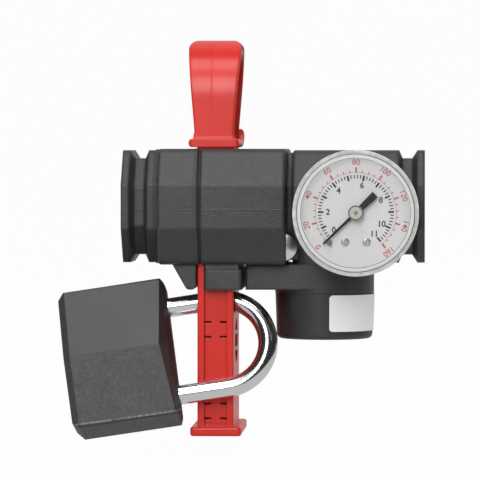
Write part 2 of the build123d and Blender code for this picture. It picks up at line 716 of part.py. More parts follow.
CAP_FLOOR = 2.6
CAP_EDGE = 1.6
HUB_RADIUS = 4.6
HUB_TOP = 32.0
STEM_RADIUS = 2.6
POPPET_RADIUS = 9.2
POPPET_THICKNESS = 3.2
POPPET_SEAL_THICKNESS = 1.0
SEAT_RING_HEIGHT = 1.2
SEAT_GAP = 0.1
SPRING_RADIUS = 7.2
SPRING_WIRE = 0.6
SPRING_PITCH = 4.6
LABEL_THICKNESS = 0.3
LABEL_TOP = 28.7
LABEL_BOTTOM = 40.5
LABEL_START = 7.0
LABEL_SWEEP = 112.0
cap_floor_top = CAP_BOTTOM - CAP_FLOOR
poppet_top = SEAT_DROP + SEAT_RING_HEIGHT + SEAT_GAP
poppet_bottom = poppet_top + POPPET_THICKNESS
stem_bottom = cap_floor_top - POPPET_TRAVEL - 1.0


def cap_radius(drop):
    """Outer radius of the tapered cap at a height below the flow axis."""
    return BOSS_RADIUS - 0.1 - CAP_TAPER * (drop - BOSS_BOTTOM) / (CAP_BOTTOM - BOSS_BOTTOM)


boss_side = Plane(origin=(BOSS_X, 0, 0), x_dir=(1, 0, 0), z_dir=(0, -1, 0))

with BuildPart() as bottom_cap:
    with BuildSketch(boss_side) as cap_half:
        with BuildLine():
            Polyline(
                (0, -CAP_BOTTOM),
                (cap_radius(CAP_BOTTOM), -CAP_BOTTOM),
                (cap_radius(BOSS_BOTTOM), -BOSS_BOTTOM),
                (CAP_SPIGOT_RADIUS - 0.05, -BOSS_BOTTOM),
                (CAP_SPIGOT_RADIUS - 0.05, -CAP_SPIGOT_TOP - 1.5),
                (CHAMBER_RADIUS, -CAP_SPIGOT_TOP - 1.5),
                (CHAMBER_RADIUS, -cap_floor_top),
                (HUB_RADIUS, -cap_floor_top),
                (HUB_RADIUS, -HUB_TOP),
                (STEM_RADIUS + 0.05, -HUB_TOP),
                (STEM_RADIUS + 0.05, -cap_floor_top),
                (0, -cap_floor_top),
                close=True,
            )
        make_face()
        lowest = vertices().group_by(Axis.Y)[0].sort_by(Axis.X)[-1]
        fillet(lowest, radius=CAP_EDGE)
    revolve(cap_half.sketch, axis=Axis((BOSS_X, 0, 0), (0, 0, 1)))
bottom_cap.part.label = "bottom_cap"
export_step(bottom_cap.part, "parts/bottom_cap.step")

with BuildPart() as cap_seal:
    with BuildSketch(boss_side) as cap_seal_section:
        with Locations((CAP_SPIGOT_RADIUS - 0.8, -CAP_SPIGOT_TOP - 0.75)):
            Circle(0.74)
    revolve(cap_seal_section.sketch, axis=Axis((BOSS_X, 0, 0), (0, 0, 1)))
cap_seal.part.label = "cap_seal"
export_step(cap_seal.part, "parts/cap_seal.step")

label_side = Plane(
    origin=(BOSS_X, 0, 0),
    x_dir=(math.sin(math.radians(LABEL_START)), -math.cos(math.radians(LABEL_START)), 0),
    z_dir=(-math.cos(math.radians(LABEL_START)), -math.sin(math.radians(LABEL_START)), 0),
)
with BuildPart() as cap_label:
    with BuildSketch(label_side) as label_section:
        with BuildLine():
            Polyline(
                (cap_radius(LABEL_TOP), -LABEL_TOP),
                (cap_radius(LABEL_TOP) + LABEL_THICKNESS, -LABEL_TOP),
                (cap_radius(LABEL_BOTTOM) + LABEL_THICKNESS, -LABEL_BOTTOM),
                (cap_radius(LABEL_BOTTOM), -LABEL_BOTTOM),
                close=True,
            )
        make_face()
    revolve(
        label_section.sketch,
        axis=Axis((BOSS_X, 0, 0), (0, 0, 1)),
        revolution_arc=LABEL_SWEEP,
    )
cap_label.part.label = "cap_label"
export_step(cap_label.part, "parts/cap_label.step")

with BuildPart() as seat_ring:
    extrude(
        disc(level(-SEAT_DROP - SEAT_RING_HEIGHT, BOSS_X), POPPET_RADIUS, GALLERY_RADIUS),
        amount=SEAT_RING_HEIGHT,
    )
seat_ring.part.label = "seat_ring"
export_step(seat_ring.part, "parts/seat_ring.step")

with BuildPart() as soft_start_poppet:
    extrude(
        disc(level(-poppet_bottom, BOSS_X), POPPET_RADIUS),
        amount=POPPET_THICKNESS,
    )
    extrude(
        disc(level(-poppet_top - POPPET_SEAL_THICKNESS, BOSS_X), POPPET_RADIUS - 0.6, GALLERY_RADIUS - 0.6),
        amount=POPPET_SEAL_THICKNESS,
        mode=Mode.SUBTRACT,
    )
    extrude(
        disc(level(-stem_bottom, BOSS_X), STEM_RADIUS),
        amount=stem_bottom - poppet_bottom,
    )
    chamfer(edges().filter_by(GeomType.CIRCLE).group_by(Axis.Z)[0], length=0.6)
soft_start_poppet.part.label = "soft_start_poppet"
export_step(soft_start_poppet.part, "parts/soft_start_poppet.step")

with BuildPart() as poppet_seal:
    extrude(
        disc(level(-poppet_top - POPPET_SEAL_THICKNESS, BOSS_X), POPPET_RADIUS - 0.6, GALLERY_RADIUS - 0.6),
        amount=POPPET_SEAL_THICKNESS,
    )
poppet_seal.part.label = "poppet_seal"
export_step(poppet_seal.part, "parts/poppet_seal.step")

spring_height = cap_floor_top - poppet_bottom - 2 * SPRING_WIRE - 0.1
with BuildPart() as poppet_spring:
    with BuildLine(level(-cap_floor_top + SPRING_WIRE + 0.05, BOSS_X)) as spring_path:
        Helix(pitch=SPRING_PITCH, height=spring_height, radius=SPRING_RADIUS)
    with BuildSketch(Plane(origin=spring_path.line @ 0, z_dir=spring_path.line % 0)) as wire:
        Circle(SPRING_WIRE)
    sweep(wire.sketch, path=spring_path.line, is_frenet=True)
poppet_spring.part.label = "poppet_spring"
export_step(poppet_spring.part, "parts/poppet_spring.step")

# ---------------------------------------------------------------- throttle screw

THROTTLE_DOME = 1.6
THROTTLE_RIM = 2.0
THROTTLE_HEAD_GAP = 0.3
THROTTLE_SEAL_PLACE = 1.6
THROTTLE_SEAL_LENGTH = 1.0
THROTTLE_GROOVE_DEPTH = 0.5
throttle_dome_radius = (THROTTLE_HEAD**2 + THROTTLE_DOME**2) / (2 * THROTTLE_DOME)
throttle_side = Plane(
    origin=(THROTTLE_X, 0, -THROTTLE_DROP),
    x_dir=(0, -1, 0),
    z_dir=(1, 0, 0),
)
throttle_rim_front = THROTTLE_LUG_FRONT + THROTTLE_HEAD_GAP + THROTTLE_RIM
throttle_groove = disc(
    toward_front(THROTTLE_LUG_FRONT - THROTTLE_SEAL_PLACE, THROTTLE_X, -THROTTLE_DROP),
    THROTTLE_SHANK,
    THROTTLE_SHANK - THROTTLE_GROOVE_DEPTH,
)
with BuildPart() as throttle_screw:
    with BuildSketch(throttle_side) as throttle_half:
        with BuildLine():
            Polyline(
                (THROTTLE_TIP, 0),
                (THROTTLE_SHANK_END, THROTTLE_SHANK),
                (THROTTLE_LUG_FRONT + THROTTLE_HEAD_GAP, THROTTLE_SHANK),
                (THROTTLE_LUG_FRONT + THROTTLE_HEAD_GAP, THROTTLE_HEAD),
                (throttle_rim_front, THROTTLE_HEAD),
            )
            RadiusArc(
                (throttle_rim_front, THROTTLE_HEAD),
                (throttle_rim_front + THROTTLE_DOME, 0),
                throttle_dome_radius,
            )
            Line((throttle_rim_front + THROTTLE_DOME, 0), (THROTTLE_TIP, 0))
        make_face()
    revolve(throttle_half.sketch, axis=Axis((THROTTLE_X, 0, -THROTTLE_DROP), (0, -1, 0)))
    extrude(throttle_groove, amount=THROTTLE_SEAL_LENGTH, mode=Mode.SUBTRACT)
throttle_screw.part.label = "throttle_screw"
export_step(throttle_screw.part, "parts/throttle_screw.step")

with BuildPart() as throttle_seal:
    extrude(throttle_groove, amount=THROTTLE_SEAL_LENGTH)
throttle_seal.part.label = "throttle_seal"
export_step(throttle_seal.part, "parts/throttle_seal.step")

# ---------------------------------------------------------------- pressure gauge

CASE_RADIUS = 19.2
CASE_WALL = 1.2
CASE_RIM = 1.1  # case rim in front of the back of the dial
DIAL_THICKNESS = 0.6
LENS_LAP = 2.0  # lens over the case's rim
LENS_RISE = 5.0  # lens in front of the case's rim
LENS_STEP_RADIUS = 18.6
LENS_STEP = 1.0
LENS_WINDOW = 1.6
HEX_FLATS = 11.0
SOCKET_NECK = 5.0
TUBE_RADIUS = 13.2
TUBE_WALL = 1.6
TUBE_RISE = 0.5  # tube in front of the lower plate
TUBE_HEIGHT = 5.0
TUBE_ROOT = 235.0
TUBE_SWEEP = 255.0
PLATE_RADIUS = 11.2
PLATE_WIDTH = 17.0
SOCKET_DEPTH_INSIDE = 3.4  # socket block between the case's back and the lower plate
PLATE_SPACE = 6.6  # between the backs of the two plates
DIAL_STAND = 3.3  # dial in front of the upper plate's back
MOVEMENT_PLATE = 0.8
PILLAR_RADIUS = 1.3
PILLAR_X = 6.0
PILLAR_Z = 5.0
ARBOR_RADIUS = 0.7
SECTOR_PLATE = 0.8
SECTOR_RISE = 2.5  # sector in front of the lower plate's back
TAIL_ANGLE = 290.0
TAIL_LENGTH = 3.0
LINK_DROP = 0.8  # link behind the upper plate
LINK_THICKNESS = 0.5
LINK_EYE = 1.2
HUB_HEIGHT = 1.8
POINTER_GAP = 1.1
POINTER_THICKNESS = 0.5
POINTER_LENGTH = 14.2
POINTER_TAIL = 8.5
POINTER_HUB = 2.4
NEEDLE_ROOT = 0.6  # half widths of the needle and of its tail
NEEDLE_TIP = 0.1
TAIL_ROOT = 0.85
TAIL_END = 1.2
STOP_PIN_RADIUS = 0.8
STOP_PIN_PLACE = 12.6
DIAL_SCREW_DROP = 9.2
DIAL_SCREW_X = 3.4
DIAL_SCREW_SHANK = 0.8
DIAL_SCREW_HEAD = 1.3
DIAL_SCREW_DOME = 0.7
DIAL_SCREW_SLOT = 0.35
POST_RADIUS = 1.6
SOCKET_BLOCK = 7.5
SOCKET_ARM = 6.0
ROOT_LENGTH = 3.6
ROOT_WALL = 1.0
ROOT_LEAD = 8.2
THROAT_RADIUS = 1.5
lower_plate = gauge_back + CASE_WALL + SOCKET_DEPTH_INSIDE
upper_plate = lower_plate + PLATE_SPACE
tube_rear = lower_plate + TUBE_RISE
sector_rear = lower_plate + SECTOR_RISE
link_rear = upper_plate - LINK_DROP
dial_back = upper_plate + DIAL_STAND
pointer_rear = dial_back + DIAL_THICKNESS + POINTER_GAP
hub_front = pointer_rear + HUB_HEIGHT
case_front = dial_back + CASE_RIM
lens_rear = case_front - LENS_LAP
gauge_front = case_front + LENS_RISE
centre_distance = PINION_RADIUS * (SECTOR_RATIO + 1)
sector_radius = PINION_RADIUS * SECTOR_RATIO
sector_swing = POINTER_SWEEP / SECTOR_RATIO
tail_spot = (
    TAIL_LENGTH * math.cos(math.radians(TAIL_ANGLE)),
    -centre_distance + TAIL_LENGTH * math.sin(math.radians(TAIL_ANGLE)),
)
needle_there = NEEDLE_ROOT + (NEEDLE_TIP - NEEDLE_ROOT) * STOP_PIN_PLACE / POINTER_LENGTH
stop_pin_turn = math.asin((STOP_PIN_RADIUS + needle_there + RUN_GAP / 2) / STOP_PIN_PLACE)
stop_pin_angle = math.radians(POINTER_REST) + stop_pin_turn
stop_pin_spot = (STOP_PIN_PLACE * math.cos(stop_pin_angle), STOP_PIN_PLACE * math.sin(stop_pin_angle))
tip_angle = math.radians(TUBE_ROOT - TUBE_SWEEP)
tip_spot = (TUBE_RADIUS * math.cos(tip_angle), TUBE_RADIUS * math.sin(tip_angle))
gauge_axis = Axis((GAUGE_X, 0, -GAUGE_DROP), (0, -1, 0))

with BuildPart() as gauge_case:
    extrude(disc(gauge_plane(gauge_back), CASE_RADIUS), amount=case_front - gauge_back)
    fillet(edges().filter_by(GeomType.CIRCLE).group_by(Axis.Y)[-1], radius=1.5)
    extrude(
        disc(gauge_plane(gauge_back + CASE_WALL), CASE_RADIUS - CASE_WALL),
        amount=gauge_front,
        mode=Mode.SUBTRACT,
    )
    extrude(disc(gauge_plane(gauge_back), SOCKET_NECK), amount=CASE_WALL, mode=Mode.SUBTRACT)
gauge_case.part.label = "gauge_case"
export_step(gauge_case.part, "parts/gauge_case.step")

gauge_side = Plane(origin=(GAUGE_X, 0, -GAUGE_DROP), x_dir=(0, -1, 0), z_dir=(1, 0, 0))
with BuildPart() as gauge_lens:
    with BuildSketch(gauge_side) as lens_half:
        with BuildLine():
            Polyline(
                (lens_rear, CASE_RADIUS),
                (lens_rear, GAUGE_RADIUS),
                (gauge_front - LENS_STEP, GAUGE_RADIUS),
                (gauge_front - LENS_STEP, LENS_STEP_RADIUS),
                (gauge_front, LENS_STEP_RADIUS),
                (gauge_front, 0),
                (gauge_front - LENS_WINDOW, 0),
                (gauge_front - LENS_WINDOW, DIAL_RADIUS + 0.4),
                (case_front, DIAL_RADIUS + 0.4),
                (case_front, CASE_RADIUS),
                close=True,
            )
        make_face()
    revolve(lens_half.sketch, axis=gauge_axis)
gauge_lens.part.label = "gauge_lens"
export_step(gauge_lens.part, "parts/gauge_lens.step")

with BuildPart() as gauge_socket:
    extrude(disc(gauge_plane(GAUGE_THREAD_END), GAUGE_THREAD - 0.05), amount=flange_front - GAUGE_THREAD_END)
    with BuildSketch(gauge_plane(flange_front)) as hexagon:
        RegularPolygon(HEX_FLATS / 2, 6, major_radius=False)
    extrude(hexagon.sketch, amount=gauge_back - flange_front)
    extrude(
        disc(gauge_plane(gauge_back), SOCKET_NECK),
        amount=CASE_WALL,
    )
    # block inside the case, with an arm out to the root of the tube
    with BuildSketch(gauge_plane(gauge_back + CASE_WALL)) as block_plan:
        Circle(SOCKET_BLOCK)
        with Locations(Rotation(0, 0, TUBE_ROOT)):
            with Locations(((TUBE_RADIUS + ROOT_WALL) / 2, 0)):
                Rectangle(TUBE_RADIUS + ROOT_WALL, SOCKET_ARM)
    extrude(block_plan.sketch, amount=lower_plate - gauge_back - CASE_WALL)
    with BuildSketch(gauge_plane(lower_plate)) as root_plan:
        with Locations(Rotation(0, 0, TUBE_ROOT + ROOT_LEAD)):
            with Locations((TUBE_RADIUS, 0)):
                Rectangle(TUBE_WALL + 2 * ROOT_WALL, ROOT_LENGTH)
    extrude(root_plan.sketch, amount=tube_rear + TUBE_HEIGHT - lower_plate)
    extrude(
        disc(gauge_plane(GAUGE_THREAD_END), THROAT_RADIUS),
        amount=gauge_back - GAUGE_THREAD_END,
        mode=Mode.SUBTRACT,
    )
gauge_socket.part.label = "gauge_socket"
export_step(gauge_socket.part, "parts/gauge_socket.step")

tube_side = Plane(
    origin=(GAUGE_X, 0, -GAUGE_DROP),
    x_dir=(math.cos(tip_angle), 0, math.sin(tip_angle)),
    z_dir=(math.sin(tip_angle), 0, -math.cos(tip_angle)),
)
with BuildPart() as bourdon_tube:
    with BuildSketch(tube_side) as tube_section:
        with Locations((TUBE_RADIUS, tube_rear + TUBE_HEIGHT / 2)):
            RectangleRounded(TUBE_WALL, TUBE_HEIGHT, TUBE_WALL * 0.45)
    revolve(tube_section.sketch, axis=gauge_axis, revolution_arc=TUBE_SWEEP)
bourdon_tube.part.label = "bourdon_tube"
export_step(bourdon_tube.part, "parts/bourdon_tube.step")

with BuildPart() as movement_plates:
    for distance in (lower_plate, upper_plate):
        with BuildSketch(gauge_plane(distance)) as plate_plan:
            Circle(PLATE_RADIUS)
            Rectangle(PLATE_WIDTH, 2 * PLATE_RADIUS, mode=Mode.INTERSECT)
            Circle(ARBOR_RADIUS + 0.05, mode=Mode.SUBTRACT)
            with Locations((0, -centre_distance)):
                Circle(ARBOR_RADIUS + 0.05, mode=Mode.SUBTRACT)
        extrude(plate_plan.sketch, amount=MOVEMENT_PLATE)
    with BuildSketch(gauge_plane(lower_plate)) as pillar_plan:
        with Locations((-PILLAR_X, PILLAR_Z), (PILLAR_X, PILLAR_Z)):
            Circle(PILLAR_RADIUS)
    extrude(pillar_plan.sketch, amount=upper_plate - lower_plate + MOVEMENT_PLATE)
    with BuildSketch(gauge_plane(upper_plate)) as post_plan:
        with Locations((-DIAL_SCREW_X, -DIAL_SCREW_DROP), (DIAL_SCREW_X, -DIAL_SCREW_DROP)):
            Circle(POST_RADIUS)
    extrude(post_plan.sketch, amount=dial_back - upper_plate)
    with BuildSketch(gauge_plane(upper_plate)) as post_hole_plan:
        with Locations((-DIAL_SCREW_X, -DIAL_SCREW_DROP), (DIAL_SCREW_X, -DIAL_SCREW_DROP)):
            Circle(DIAL_SCREW_SHANK)
    extrude(post_hole_plan.sketch, amount=dial_back - upper_plate, mode=Mode.SUBTRACT)
movement_plates.part.label = "movement_plates"
export_step(movement_plates.part, "parts/movement_plates.step")

with BuildPart() as sector_gear:
    with BuildSketch(gauge_plane(sector_rear)) as sector_plan:
        with Locations((0, -centre_distance)):
            Circle(sector_radius - 0.2)
        with BuildLine():
            half_reach = math.radians(4)
            low = math.pi / 2 - math.radians(sector_swing) - half_reach
            high = math.pi / 2 + half_reach
            far = 2 * sector_radius
            Polyline(
                (0, -centre_distance),
                (far * math.cos(low), -centre_distance + far * math.sin(low)),
                (far * math.cos(high), -centre_distance + far * math.sin(high)),
                close=True,
            )
        make_face(mode=Mode.INTERSECT)
        with Locations((0, -centre_distance)):
            Circle(1.8)
        with Locations(tail_spot):
            Circle(LINK_EYE)
        with BuildLine():
            spine = Line((0, -centre_distance), tail_spot)
        trace(spine, line_width=1.6)
    extrude(sector_plan.sketch, amount=SECTOR_PLATE)
    extrude(
        disc(gauge_plane(lower_plate, 0, -centre_distance), ARBOR_RADIUS),
        amount=upper_plate - lower_plate + MOVEMENT_PLATE,
    )
    extrude(
        disc(gauge_plane(sector_rear, *tail_spot), 0.5),
        amount=link_rear + LINK_THICKNESS - sector_rear,
    )
sector_gear.part.label = "sector_gear"
export_step(sector_gear.part, "parts/sector_gear.step")

with BuildPart() as gauge_link:
    with BuildSketch(gauge_plane(link_rear)) as link_plan:
        with BuildLine():
            link_line = Line(tail_spot, tip_spot)
        trace(link_line, line_width=1.2)
        with Locations(tail_spot, tip_spot):
            Circle(LINK_EYE)
        with Locations(tail_spot):
            Circle(0.55, mode=Mode.SUBTRACT)
        with Locations(tip_spot):
            Circle(0.5, mode=Mode.SUBTRACT)
    extrude(link_plan.sketch, amount=LINK_THICKNESS)
gauge_link.part.label = "gauge_link"
export_step(gauge_link.part, "parts/gauge_link.step")

with BuildPart() as pointer_shaft:
    extrude(disc(gauge_plane(lower_plate), ARBOR_RADIUS), amount=hub_front - lower_plate)
    extrude(disc(gauge_plane(sector_rear - 0.4), PINION_RADIUS - 0.2), amount=SECTOR_PLATE + 0.8)
pointer_shaft.part.label = "pointer_shaft"
export_step(pointer_shaft.part, "parts/pointer_shaft.step")

HAIRSPRING_RISE = 1.9  # in front of the sector's back
HAIRSPRING_HEIGHT = 0.4
HAIRSPRING_WIRE = 0.25
HAIRSPRING_STEP = 0.45
HAIRSPRING_TURNS = 3
with BuildPart() as hairspring:
    with BuildSketch(gauge_plane(sector_rear + HAIRSPRING_RISE)) as coil_plan:
        with BuildLine():
            for half_turn in range(2 * HAIRSPRING_TURNS):
                side = 1 if half_turn % 2 == 0 else -1
                near = 1.2 + half_turn * HAIRSPRING_STEP / 2
                ends = (near, near + HAIRSPRING_STEP / 2)
                middle = (ends[0] - ends[1]) / 2 * side
                radius = (ends[0] + ends[1]) / 2
                ThreePointArc((side * ends[0], 0), (middle, side * radius), (-side * ends[1], 0))
        trace(line_width=HAIRSPRING_WIRE)
    extrude(coil_plan.sketch, amount=HAIRSPRING_HEIGHT)
hairspring.part.label = "hairspring"
export_step(hairspring.part, "parts/hairspring.step")

with BuildPart() as gauge_dial:
    extrude(disc(gauge_plane(dial_back), DIAL_RADIUS, ARBOR_RADIUS + 0.3), amount=DIAL_THICKNESS)
    with BuildSketch(gauge_plane(dial_back)) as dial_holes:
        with Locations((-DIAL_SCREW_X, -DIAL_SCREW_DROP), (DIAL_SCREW_X, -DIAL_SCREW_DROP)):
            Circle(DIAL_SCREW_SHANK)
    extrude(dial_holes.sketch, amount=DIAL_THICKNESS, mode=Mode.SUBTRACT)
    # pin that the pointer rests against
    extrude(
        disc(gauge_plane(dial_back, *stop_pin_spot), STOP_PIN_RADIUS),
        amount=pointer_rear + POINTER_THICKNESS - dial_back,
    )
gauge_dial.part.label = "gauge_dial"
export_step(gauge_dial.part, "parts/gauge_dial.step")

with BuildPart() as dial_screws:
    with BuildSketch(gauge_plane(dial_back - 2)) as screw_shanks:
        with Locations((-DIAL_SCREW_X, -DIAL_SCREW_DROP), (DIAL_SCREW_X, -DIAL_SCREW_DROP)):
            Circle(DIAL_SCREW_SHANK)
    extrude(screw_shanks.sketch, amount=DIAL_THICKNESS + 2)
    with BuildSketch(gauge_plane(dial_back + DIAL_THICKNESS)) as screw_heads:
        with Locations((-DIAL_SCREW_X, -DIAL_SCREW_DROP), (DIAL_SCREW_X, -DIAL_SCREW_DROP)):
            Circle(DIAL_SCREW_HEAD)
    extrude(screw_heads.sketch, amount=DIAL_SCREW_DOME)
    fillet(edges().filter_by(GeomType.CIRCLE).group_by(Axis.Y)[0], radius=DIAL_SCREW_DOME * 0.7)
    with BuildSketch(gauge_plane(dial_back + DIAL_THICKNESS + DIAL_SCREW_DOME)) as screw_slots:
        with Locations((-DIAL_SCREW_X, -DIAL_SCREW_DROP), (DIAL_SCREW_X, -DIAL_SCREW_DROP)):
            Rectangle(DIAL_SCREW_SLOT, 2 * DIAL_SCREW_HEAD)
    extrude(screw_slots.sketch, amount=-DIAL_SCREW_DOME / 2, mode=Mode.SUBTRACT)
dial_screws.part.label = "dial_screws"
export_step(dial_screws.part, "parts/dial_screws.step")

pointer_plane = Plane(
    origin=(GAUGE_X, -pointer_rear, -GAUGE_DROP),
    x_dir=(math.cos(math.radians(POINTER_REST)), 0, math.sin(math.radians(POINTER_REST))),
    z_dir=(0, -1, 0),
)
with BuildPart() as gauge_pointer:
    with BuildSketch(pointer_plane) as pointer_plan:
        Circle(POINTER_HUB)
        with BuildLine():
            Polyline(
                (0, NEEDLE_ROOT),
                (POINTER_LENGTH, NEEDLE_TIP),
                (POINTER_LENGTH, -NEEDLE_TIP),
                (0, -NEEDLE_ROOT),
                close=True,
            )
        make_face()
        with BuildLine():
            Polyline(
                (0, TAIL_ROOT),
                (-POINTER_TAIL, TAIL_END),
                (-POINTER_TAIL, -TAIL_END),
                (0, -TAIL_ROOT),
                close=True,
            )
        make_face()
        Circle(ARBOR_RADIUS, mode=Mode.SUBTRACT)
    extrude(pointer_plan.sketch, amount=POINTER_THICKNESS)
    extrude(
        disc(gauge_plane(pointer_rear), POINTER_HUB, ARBOR_RADIUS),
        amount=hub_front - pointer_rear - 0.3,
    )
gauge_pointer.part.label = "gauge_pointer"
export_step(gauge_pointer.part, "parts/gauge_pointer.step")

# ---------------------------------------------------------------- padlock

# The legs run along u, n points from the lower leg to the upper one, and w faces the front.
leg_reach = slide_front + LEG_OFF_SLIDE + SHACKLE_RADIUS - LOCK_HOLE_FRONT
lean = math.asin(leg_reach / (LEG_SPACING - LEG_ABOVE_HOLE))
tilt = math.radians(LEG_TILT)
leg_direction = Vector(math.cos(tilt), 0, math.sin(tilt))
across = Vector(
    -math.sin(tilt) * math.cos(lean),
    math.sin(lean),
    math.cos(tilt) * math.cos(lean),
)
facing = leg_direction.cross(across)
hole_centre = Vector(slide_mid, -LOCK_HOLE_FRONT, -LOCK_HOLE_DROP)
bow_centre = hole_centre - across * (LEG_SPACING / 2 - LEG_ABOVE_HOLE)


def lock_plane(along=0.0, sideways=0.0, forward=0.0):
    """The padlock's own plane: x along the legs, y from the lower leg to the upper one, z to the front."""
    origin = bow_centre + leg_direction * along + across * sideways + facing * forward
    return Plane(origin=origin, x_dir=leg_direction, z_dir=facing)


def lock_end(along, sideways=0.0, forward=0.0):
    """A plane across the padlock's legs, facing away from the bow."""
    origin = bow_centre + leg_direction * along + across * sideways + facing * forward
    return Plane(origin=origin, x_dir=facing, z_dir=-leg_direction)


TOE_DEPTH = 12.0
HEEL_DEPTH = 25.0
BALL_DEPTH = 9.0
LEG_GAP = 0.15
half_spacing = LEG_SPACING / 2
lock_right = -SHACKLE_SHOW
lock_left = lock_right - LOCK_LENGTH
toe_end = lock_right - TOE_DEPTH
heel_end = lock_right - HEEL_DEPTH
ball_x = lock_right - BALL_DEPTH
leg_inside = half_spacing - SHACKLE_RADIUS
ball_rest = leg_inside - RUN_GAP - BALL_RADIUS

with BuildPart() as shackle:
    with BuildLine(lock_plane()) as shackle_path:
        Line((toe_end, half_spacing), (0, half_spacing))
        ThreePointArc((0, half_spacing), (half_spacing, 0), (0, -half_spacing))
        Line((0, -half_spacing), (heel_end, -half_spacing))
    sweep(disc(lock_end(toe_end, half_spacing), SHACKLE_RADIUS), path=shackle_path.line)
    tips = edges().filter_by(GeomType.CIRCLE).filter_by(
        lambda e: abs((e.center() - bow_centre).dot(leg_direction) - toe_end) < 0.01
        or abs((e.center() - bow_centre).dot(leg_direction) - heel_end) < 0.01
    )
    chamfer(tips, length=0.7)
    for side in (1, -1):
        notch_centre = bow_centre + leg_direction * ball_x + across * side * (ball_rest + BALL_THROW)
        with Locations(Location(notch_centre)):
            Sphere(BALL_RADIUS + 0.15, mode=Mode.SUBTRACT)
shackle.part.label = "shackle"
export_step(shackle.part, "parts/shackle.step")

CYLINDER_RADIUS = 6.6
BIBLE_HALF_WIDTH = 2.8
BIBLE_REACH = 12.6
CYLINDER_INSET = 0.8
CYLINDER_GAP = 0.8  # cylinder to the nearer side of the ball bore
CAM_CAVITY_GAP = 0.6
CAM_OVERRUN = 1.0
CAM_LENGTH = 7.0
PLUG_RADIUS = 4.6
SHELL_EDGE = 0.5
LEFT_CHAMFER = 2.2
END_FLAT_HALF = 3.0  # half the thickness of the flat at the shackle end
EDGE_CUT = 1.2  # slanted faces at the shackle end, at the sides and on the ridge
RIDGE_CUT = 3.6
SHELL_CORNER = 1.8
BORE_OVERRUN = 1.6
ridge_half = LOCK_RIDGE_THICKNESS / 2
edge_half = LOCK_EDGE_THICKNESS / 2
width_half = LOCK_WIDTH / 2
cylinder_left = lock_left + CYLINDER_INSET
cylinder_right = ball_x - BALL_RADIUS - CYLINDER_GAP
cylinder_length = cylinder_right - cylinder_left
cavity_right = cylinder_right + CAM_LENGTH + CAM_OVERRUN
cam_cavity = ball_rest - BALL_RADIUS + BALL_THROW + CAM_CAVITY_GAP
hexagon_half = [(edge_half, width_half), (ridge_half, 0), (edge_half, -width_half)]
shackle_end = [
    (lock_right - RIDGE_CUT, ridge_half),
    (lock_right - EDGE_CUT, edge_half),
    (lock_right, END_FLAT_HALF),
]

lock_edge_plane = Plane(origin=bow_centre, x_dir=leg_direction, z_dir=-across)


def lock_hexagon(along, grow=0.0):
    """The padlock's section across its legs."""
    with BuildSketch(lock_end(along)) as profile:
        Polygon(*hexagon_half, *[(-z, -y) for z, y in hexagon_half], align=None)
        if grow:
            offset(amount=grow, kind=Kind.INTERSECTION)
    return profile.sketch


with BuildPart() as lock_body:
    extrude(lock_hexagon(lock_right), amount=LOCK_LENGTH - LEFT_CHAMFER)
    long_edges = edges().filter_by(
        lambda e: abs((e.center() - bow_centre).dot(across)) > width_half - SHELL_EDGE
        and abs((e % 0.5).dot(leg_direction)) > 0.99
    )
    chamfer(long_edges, length=SHELL_EDGE)
    add(slope(lock_hexagon(lock_left + LEFT_CHAMFER), lock_hexagon(lock_left, -LEFT_CHAMFER)))
    # corners seen from the front, then the slanted faces front and back at the shackle end
    with BuildSketch(lock_plane(0, 0, -ridge_half)) as front_outline:
        with Locations(((lock_left + lock_right) / 2, 0)):
            Rectangle(LOCK_LENGTH, LOCK_WIDTH)
        shackle_corners = vertices().group_by(Axis.X)[-1]
        fillet(shackle_corners, radius=SHELL_CORNER)
    extrude(front_outline.sketch, amount=2 * ridge_half, mode=Mode.INTERSECT)
    with BuildSketch(lock_edge_plane) as end_outline:
        Polygon(
            (lock_left, ridge_half),
            *shackle_end,
            *[(x, -z) for x, z in reversed(shackle_end)],
            (lock_left, -ridge_half),
            align=None,
        )
    extrude(end_outline.sketch, amount=LOCK_WIDTH / 2, both=True, mode=Mode.INTERSECT)
    for side, depth in ((1, TOE_DEPTH + 1.5), (-1, HEEL_DEPTH + 1.0)):
        extrude(
            disc(lock_end(lock_right + 1, side * half_spacing), SHACKLE_RADIUS + LEG_GAP),
            amount=depth + 1,
            mode=Mode.SUBTRACT,
        )
    extrude(
        disc(lock_end(cavity_right), max(cam_cavity, CYLINDER_RADIUS)),
        amount=cavity_right - lock_left + 1,
        mode=Mode.SUBTRACT,
    )
    with BuildSketch(lock_end(cylinder_right)) as bible_slot:
        with Locations((0, BIBLE_REACH / 2)):
            Rectangle(2 * BIBLE_HALF_WIDTH, BIBLE_REACH)
    extrude(bible_slot.sketch, amount=cylinder_right - lock_left + 1, mode=Mode.SUBTRACT)
    ball_bore = Plane(
        origin=bow_centre + leg_direction * ball_x - across * (leg_inside + BORE_OVERRUN),
        x_dir=facing,
        z_dir=across,
    )
    extrude(
        disc(ball_bore, BALL_RADIUS + RUN_GAP / 2),
        amount=2 * (leg_inside + BORE_OVERRUN),
        mode=Mode.SUBTRACT,
    )
lock_body.part.label = "lock_body"
export_step(lock_body.part, "parts/lock_body.step")

PIN_COUNT = 5
PIN_RADIUS = 1.2
PIN_START = 3.6
DRIVER_PIN_LENGTH = 3.0
KEYWAY_WIDTH = 1.4
KEYWAY_HEIGHT = 7.2
pin_pitch = (cylinder_length - 2 * PIN_START) / (PIN_COUNT - 1)
pin_places = [cylinder_left + PIN_START + i * pin_pitch for i in range(PIN_COUNT)]


def pin_plane(along, reach):
    """A plane across a pin of the lock cylinder, facing from the plug to the chamber roof."""
    origin = bow_centre + leg_direction * along + across * reach
    return Plane(origin=origin, x_dir=leg_direction, z_dir=across)


